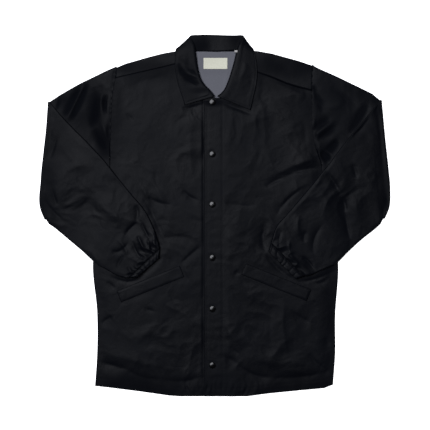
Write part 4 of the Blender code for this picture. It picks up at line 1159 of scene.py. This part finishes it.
FOREARM_CREASES = {  # x1, y1, xm, ym, x2, y2, width, height, lean
    "right": (
        (-363, 190, -372, 160, -382, 132, 9, -2.0, 0.5),
        (-358, 82, -323, 115, -274, 113, 20, 1.5, -0.3),
        (-375, 66, -370, 42, -363, 24, 9, -2.6, 0.4),
        (-394, 40, -372, 9, -344, -14, 8, -2.0, 0.5),
        (-354, 155, -323, 132, -300, 96, 19, 1.4, 0),
        (-206, -47, -192, -28, -173, -14, 9, -3.2, 0.5),
        (-175, -45, -166, -66, -154, -89, 7, 3.4, 0),
        (-142, -52, -142, -75, -145, -94, 4, -2.2, 0),
        (-133, -54, -130, -75, -133, -94, 4, -2.2, 0),
        (-152, -47, -149, -68, -147, -85, 4, 2.0, 0),
        (-236, -80, -217, -82, -194, -59, 9, -2.4, 0.4),
        (-208, -92, -217, -106, -224, -122, 7, -2.2, 0.4),
        (-199, -118, -192, -127, -184, -139, 7, 2.6, 0),
        (-182, 26, -175, 9, -180, -14, 9, -2.4, 0.4),
        (-264, 26, -229, 2, -217, -33, 28, 1.6, 0),
        (-166, -14, -156, -38, -147, -56, 7, -2.4, 0.3),
        (-187, -56, -180, -80, -166, -99, 7, -2.2, 0.3),
        (-222, -56, -208, -70, -199, -94, 7, 2.0, 0.2),
    ),
    "left": (
        (328, 122, 335, 103, 337, 87, 9, -2.4, 0.4),
        (267, 101, 286, 78, 302, 47, 9, -3.0, 0.6),
        (302, 47, 311, 28, 311, 9, 8, -2.8, 0.6),
        (311, 9, 316, -24, 323, -56, 9, -2.6, 0.4),
        (412, 66, 410, 33, 398, 7, 9, -3.4, 0.4),
        (375, 273, 387, 254, 389, 221, 14, -2.4, 0.2),
        (365, 230, 347, 202, 325, 188, 9, -2.6, 0.4),
        (220, -35, 215, -49, 217, -63, 9, -2.2, 0.4),
        (257, -21, 239, -56, 239, -89, 9, -2.4, 0.4),
        (163, -33, 156, -54, 156, -75, 8, -2.2, 0.3),
        (347, 61, 335, 26, 351, -14, 24, 1.8, 0.1),
        (248, 73, 264, 38, 288, 2, 24, 2.0, 0),
        (206, 2, 199, -21, 206, -47, 12, 2.2, 0.2),
        (210, -96, 224, -106, 239, -127, 7, -2.4, 0.4),
        (182, -56, 180, -80, 192, -103, 7, 2.2, 0),
        (135, -47, 140, -63, 135, -80, 7, -2, 0.3),
    ),
}


def cloth_below(trees):
    """Reads the height of what lies below a draped piece, bridged over steps as taut cloth does."""
    xs, ys = np.arange(-440, 450, DRAPE_CELL), np.arange(-190, 400, DRAPE_CELL)
    heights = np.array([[top_of(trees, x, y) for y in ys] for x in xs])

    def window(grid, reach, rule):
        steps = range(-reach, reach + 1)
        moves = [(i, j) for i in steps for j in steps if i * i + j * j <= reach**2 + 1]
        return rule([np.roll(grid, move, (0, 1)) for move in moves], axis=0)

    grid = window(window(heights, DRAPE_SPREAD, np.max), DRAPE_SOFTEN, np.mean)

    def at(x, y):
        u = np.clip((np.asarray(x) - xs[0]) / DRAPE_CELL, 0, len(xs) - 1.001)
        v = np.clip((np.asarray(y) - ys[0]) / DRAPE_CELL, 0, len(ys) - 1.001)
        i, j = u.astype(int), v.astype(int)
        return blend(grid, i, j, i + 1, j + 1, u - i, v - j)

    return at


def across_shares(width, half):
    """Shares across a flattened tube, closer together at its two rounded edges."""
    near = np.array((0, 0.08, 0.3, 0.65, 1.0, 1.6)) * half / width
    inner = np.linspace(near[-1], 1 - near[-1], SLEEVE_ACROSS - 10)[1:-1]
    return np.concatenate([near, inner, (1 - near)[::-1]])


def rounded(shares, width, half):
    """How far a flattened tube's cloth is from its middle, less and less at its two edges."""
    inside = np.minimum(shares, 1 - shares) * width
    return half * np.sqrt(np.clip(1 - (1 - np.minimum(inside / half, 1)) ** 2, 0, 1))


def flat_ring(start, end, half, ground, bow=None):
    """A ring of a flattened tube: over the top from start to end, and back along the bottom."""
    start, end = np.array(start, float), np.array(end, float)
    width = np.hypot(*(end - start))
    shares = across_shares(width, half)
    place = start + (end - start) * shares[:, None]
    if bow is not None:
        place[:, 0] += bow(place[:, 1])
    middle, rise = ground(*place.T) + half, rounded(shares, width, half)
    top, bottom = np.column_stack([place, middle + rise]), np.column_stack([place, middle - rise])
    return np.concatenate([top[:-1], bottom[:0:-1]])


def turned_over(ring):
    """The same ring begun at the same edge but along its bottom first, as it lies past the fold."""
    return np.concatenate([ring[:1], ring[:0:-1]])


def between(first, last, count):
    """Rings that lead straight from one ring to another."""
    return [first + (last - first) * share for share in np.linspace(0, 1, count + 2)[1:-1]]


def armhole_bow(side, strength):
    """How far a ring bends sideways to follow the armhole, by the height up the body."""
    (low_y, low_x), (top_y, top_x) = ARMHOLE[side][0], ARMHOLE[side][-1]

    def bow(y):
        straight = low_x + (top_x - low_x) * (y - low_y) / (top_y - low_y)
        over_seam = OUTWARD[side] * ARMHOLE_LAP * smooth((y - low_y - 30) / 25)
        return strength * (read(ARMHOLE[side], y) - straight - over_seam)

    return bow


def upper_rings(side):
    """Rings of the upper arm, from inside the armhole's seam to the elbow."""
    out = OUTWARD[side]
    (low_y, low_x), (top_y, top_x) = ARMHOLE[side][0], ARMHOLE[side][-1]
    rings = []
    for inward, inset_y in PINCHED:
        start = (top_x - out * inward, top_y - inset_y)
        end = (low_x - out * inward, low_y + inset_y + 2)
        bow = armhole_bow(side, 1)
        rings.append(flat_ring(start, end, PINCHED_HALF, lambda x, y: SEAM_LEVEL + 0 * x, bow))
    head = (top_x + out * SEAM, top_y + 4, low_x + out * 0.5, low_y + 1, HEAD_HALF, 1)
    arm = zip(UPPER_ARM[side], UPPER_HALVES, UPPER_BOWS)
    stations = np.array([head] + [(*row, half, strength) for row, half, strength in arm])
    for at in np.linspace(0, len(stations) - 1, UPPER_RINGS):
        x1, y1, x2, y2, half, strength = through(at, range(len(stations)), stations)
        bow = armhole_bow(side, strength)
        rings.append(flat_ring((x1, y1), (x2, y2), half, lambda x, y: FLOOR_LEVEL + 0 * x, bow))
    return rings


def fold_rings(side):
    """Rings of the half turn at the elbow, where the tube folds back over itself."""
    out = OUTWARD[side]
    ys, xs = zip(*FOLD_EDGE[side])
    radius = FOLD_HALF + (SHELL_CLOTH + GAP + 0.8) / 2
    width = ys[-1] - ys[0]
    shares = across_shares(width, FOLD_HALF)
    y = ys[-1] - width * shares
    rise = rounded(shares, width, FOLD_HALF)
    axis_x, axis_z = through(y, ys, xs) - out * (radius + FOLD_HALF), FLOOR_LEVEL + FOLD_HALF + radius
    rings = []
    for angle in np.linspace(0, math.pi, FOLD_RINGS):
        across, up = out * math.sin(angle), -math.cos(angle)
        inner, outer = (
            np.column_stack([axis_x + across * distance, y, axis_z + up * distance])
            for distance in (radius - rise, radius + rise)
        )
        rings.append(np.concatenate([inner[:-1], outer[:0:-1]]))
    return rings


def forearm_rings(side, ground):
    """Rings of the forearm, from the fold to the wrist, where it is puffed."""
    stations = np.array(FOREARM[side], float)
    last = len(stations) - 1
    rings = []
    for at in np.linspace(0, last, FOREARM_RINGS):
        x1, y1, x2, y2 = through(at, range(last + 1), stations)
        half = FOREARM_HALF + (WRIST_HALF - FOREARM_HALF) * float(smooth((at - last + 3) / 3))
        rings.append(turned_over(flat_ring((x1, y1), (x2, y2), half, ground)))
    return rings


def tube_width(points):
    """Width of each ring of a flattened tube."""
    return np.hypot(*(points[:, 0, :2] - points[:, points.shape[1] // 2, :2]).T)[:, None]


def tube_plan(points, along):
    """Places on the flat cut of a tube's cloth, round it and along it."""
    count = points.shape[1]
    around = np.arange(count) / count * 2 * tube_width(points)
    return np.stack([around, np.broadcast_to(along, around.shape)], axis=-1)


def level_fold(points, first, last):
    """Levels the rings between the fold and the forearm that lies on the body, as taut cloth does."""
    reach = LEVEL_WINDOW // 2
    eased = softened(points[first - reach:last + reach, :, 2], LEVEL_WINDOW)
    at = np.arange(len(eased))
    weight = smooth(np.minimum(at / 6, at[::-1] / 20))[:, None]
    points[first:last, :, 2] += (eased - points[first:last, :, 2]) * weight


def add_folds(side, points, first_over):
    """Adds creases, puckers and pleats to a sleeve's rings, and returns how dull each place is.

    first_over is the first ring past the elbow, from where on the tube's second half is its top.
    """
    out, (total, count) = OUTWARD[side], points.shape[:2]
    x, y = points[..., 0], points[..., 1]
    row = np.arange(total)[:, None] + 0 * x
    is_top = np.zeros(x.shape, bool)
    is_top[:first_over, 1:SLEEVE_ACROSS + 1] = True
    is_top[first_over:, count // 2 + 1:] = True
    from_ends = [np.hypot(x - points[:, [k], 0], y - points[:, [k], 1]) for k in (0, count // 2)]
    ends = np.minimum(*from_ends)
    above_forearm = y - read(sorted(station[:2] for station in FOREARM[side]), x)
    on_upper = smooth((first_over - FOLD_RINGS - row) / 8) * smooth(np.abs(x - edge_x(side, y)) / 10)
    on_upper = on_upper * smooth((above_forearm + 4) / 14) * smooth((row - 2) / 2)
    on_forearm = smooth((row - first_over - 2) / 10)
    folds = 1.6 * creased(x, y, UPPER_CREASES[side])
    upper = folds + crumpled(x, y, 1.8, 101 + out)
    over = creased(x, y, FOREARM_CREASES[side]) + crumpled(x, y, 1.8, 111 + out)
    wrist = smooth((row - total + PUFFED_RINGS) / (PUFFED_RINGS - 4))
    across = np.abs(np.arange(count) - count // 2) / (count // 2) * tube_width(points)
    from_wrist = (total - 1 - row) * 2.0
    pleats = 0.9 - 2.2 * np.abs(mottle(across, from_wrist * 0.3 + across * 0.2, 17, 121 + out))
    pleats = pleats + 0.7 * mottle(across, from_wrist * 0.4, 21, 123 + out)
    over = over * (1 - 0.3 * wrist) + 1.8 * wrist * pleats
    ease = np.exp(-np.maximum(row - 2, 0) / 4.5) * np.sin(y * PUCKER + 3 * mottle(x, y, 28, 131)) * 0.5
    relief = (upper * on_upper + over * on_forearm) * smooth(ends / 10) + ease * smooth(ends / 16)
    before = points[..., 2].copy()
    points[..., 2] += np.where(is_top, relief, np.maximum(0.25 * relief, 0) * on_upper)
    opposite = (count - np.arange(count)) % count
    lowest = np.minimum(before, points[:, opposite, 2] + SHELL_CLOTH + 0.15)
    points[..., 2] = np.where(is_top, np.maximum(points[..., 2], lowest), points[..., 2])
    dull_upper = dulled(x, y, DULL_UPPER[side]) + np.clip(-folds / 2 - 0.6, 0, 1.4)
    dull_over = dulled(x, y, DULL_FOREARM[side])
    dull = dull_upper * smooth((first_over - row) / 6) + dull_over * smooth((row - first_over) / 6)
    return dull * is_top


def make_sleeve(side, below):
    """Sleeve tube: upper arm, half turn at the elbow, and forearm. Returns the forearm's ground too."""
    upper, turns = upper_rings(side), fold_rings(side)
    lower = upper + between(upper[-1], turns[0], BETWEEN_RINGS)
    support = cloth_below(below + [grid_tree(np.array(lower))])

    def ground(x, y):
        return support(x, y) + SHELL_CLOTH / 2 + GAP

    forearm = forearm_rings(side, ground)
    points = np.array([*lower, *turns, *between(turns[-1], forearm[0], BETWEEN_RINGS), *forearm])
    level_fold(points, len(lower) + FOLD_RINGS - 2, len(points) - FOREARM_RINGS + LEVELLED)
    dull = add_folds(side, points, len(lower) + FOLD_RINGS // 2)
    along = np.cumsum(np.concatenate([[0], np.hypot(*np.diff(points.mean(1)[:, :2], axis=0).T)]))
    flat = tube_plan(points, along[:, None])
    name = f"sleeve_tube_{side}"
    return cloth_piece(name, points, flat, SHELL, SHELL_CLOTH, closed=True, dull=dull), ground


def grid_tree(points):
    """Search tree of a closed grid's outer side."""
    corners = (points + (0, 0, SHELL_CLOTH / 2)).reshape(-1, 3) * MM
    faces, _ = grid_faces(*points.shape[:2], closed=True)
    return BVHTree.FromPolygons(corners.tolist(), faces.tolist())


# Cuffs: a short band of nylon over elastic at each wrist, which gathers the sleeve's end into small
# ruffles; two rows of stitching hold the elastic.
CUFF_EDGE = {"right": (-125, -98, -178, -144), "left": (131, -82, 196, -147)}
CUFF_RINGS = (  # share of the band, half thickness
    (0, 3.9), (0.1, 3.3), (0.25, 3.7), (0.5, 3.9), (0.8, 3.7), (1, 3.4),
)
CUFF_ROWS, CUFF_DEPTH = 26, 22
CUFF_STITCH_ROWS = (7, 19)


def make_cuff(side, ground):
    """Cuff as short rings beyond the sleeve's end, with the ruffles of the elastic all round."""
    end = np.array(FOREARM[side][-1], float)
    edge = np.array(CUFF_EDGE[side], float)
    depth = np.hypot(*(edge - end)[:2])
    start = end + (edge - end) * (SEAM / depth)
    rings = []
    for share in np.linspace(0, 1, CUFF_ROWS):
        x1, y1, x2, y2 = start + (edge - start) * share
        half = float(through(share, *zip(*CUFF_RINGS)))
        rings.append(turned_over(flat_ring((x1, y1), (x2, y2), half, ground)))
    points = np.array(rings)
    count = points.shape[1]
    share = np.linspace(0, 1, CUFF_ROWS)[:, None]
    place = np.abs(np.arange(count) - count // 2)[None, :] / (count // 2)
    bottom = (np.arange(count) < count // 2)[None, :]
    x, y = points[..., 0], points[..., 1]
    ruffle = np.sin(place * 21 + 1.6 * mottle(x, y, 19, 141) + np.where(bottom, 1.3, 0))
    ruffle = (np.sqrt(np.abs(ruffle)) * 2 - 1) * (0.8 + 0.6 * mottle(x, y, 11, 143))
    held = 1 - 0.3 * bell(share, 0.3, 0.08) - 0.3 * bell(share, 0.72, 0.08)
    edges = smooth(np.minimum(place, 1 - place) / 0.05)
    points[..., 2] += ruffle * held * edges * np.where(bottom, -0.3, 0.7) + np.where(bottom, 0.3, 0)
    points[..., :2] += (edge - end)[:2] / depth * (ruffle * share**2)[..., None]
    flat = tube_plan(points, share * CUFF_DEPTH)
    return cloth_piece(f"cuff_band_{side}", points, flat, SHELL, SHELL_CLOTH, closed=True), points


below = trees_of(back, *fronts.values(), *welts.values())
for side in ("right", "left"):
    sleeve, ground = make_sleeve(side, below)
    dress(
        [f"sleeve_{side}"],
    )
    cuff, cuff_points = make_cuff(side, ground)
    on_top = cuff_points[:, cuff_points.shape[1] // 2 + 6:-6, :2]
    lines = [on_top[row] for row in CUFF_STITCH_ROWS]
    sewn = sew(f"cuff_stitches_{side}", [cuff], lines, BLACK_THREAD, pitch=2.6, stitch=2.0)
    dress(
        [f"cuff_{side}"],
    )

# Studio: a pale floor, a camera straight above, as in the photo, and soft light from the upper left.
PICTURE_PIXELS, MM_PER_PIXEL = 430, 2.35
PICTURE_CENTRE = (5.9, 2.4)  # x, y
LENS, SENSOR = 100, 36
FLOOR_REACH, FLOOR_DEPTH, FLOOR_GLOW = 6.0, 0.0002, 0.9  # in metres; the glow keeps the floor white
KEY_PLACE, KEY_SIZE, KEY_POWER, KEY_COLOUR = (-2.0, 2.2, 8.6), 5.2, 1200, (0.98, 1.0, 1.07)
ROOM_LIGHT = 0.03


def make_floor():
    """Pale floor that stays nearly white around the garment."""
    material, tree, shader = new_material("pale_floor")
    set_inputs(tree, shader, {
        "Base Color": (0.92, 0.92, 0.92, 1), "Roughness": 0.9,
        "Emission Color": (1, 1, 1, 1), "Emission Strength": FLOOR_GLOW,
    })
    mesh = bpy.data.meshes.new("floor")
    corners = [(FLOOR_REACH * x, FLOOR_REACH * y, 0) for x, y in ((-1, -1), (1, -1), (1, 1), (-1, 1))]
    mesh.from_pydata(corners, [], [(0, 1, 2, 3)])
    mesh.materials.append(material)
    floor = add_object("floor", mesh)
    floor.location.z = -FLOOR_DEPTH


make_floor()
lamp = bpy.data.lights.new("key_light", "AREA")
lamp.size, lamp.energy, lamp.color = KEY_SIZE, KEY_POWER, KEY_COLOUR
light = add_object("key_light", lamp)
light.location = KEY_PLACE
light.rotation_euler = (-Vector(KEY_PLACE)).to_track_quat("-Z", "Y").to_euler()
world = bpy.data.worlds.new("studio")
world.use_nodes = True
background = world.node_tree.nodes["Background"]
set_inputs(world.node_tree, background, {"Color": (1, 1, 1, 1), "Strength": ROOM_LIGHT})
bpy.context.scene.world = world

camera_data = bpy.data.cameras.new("camera")
camera_data.lens = LENS
camera_data.sensor_width = SENSOR
camera = add_object("camera", camera_data)
distance = PICTURE_PIXELS * MM_PER_PIXEL * MM * LENS / SENSOR
camera.location = (PICTURE_CENTRE[0] * MM, PICTURE_CENTRE[1] * MM, distance)
bpy.context.scene.camera = camera
bpy.context.scene.view_settings.view_transform = "Standard"
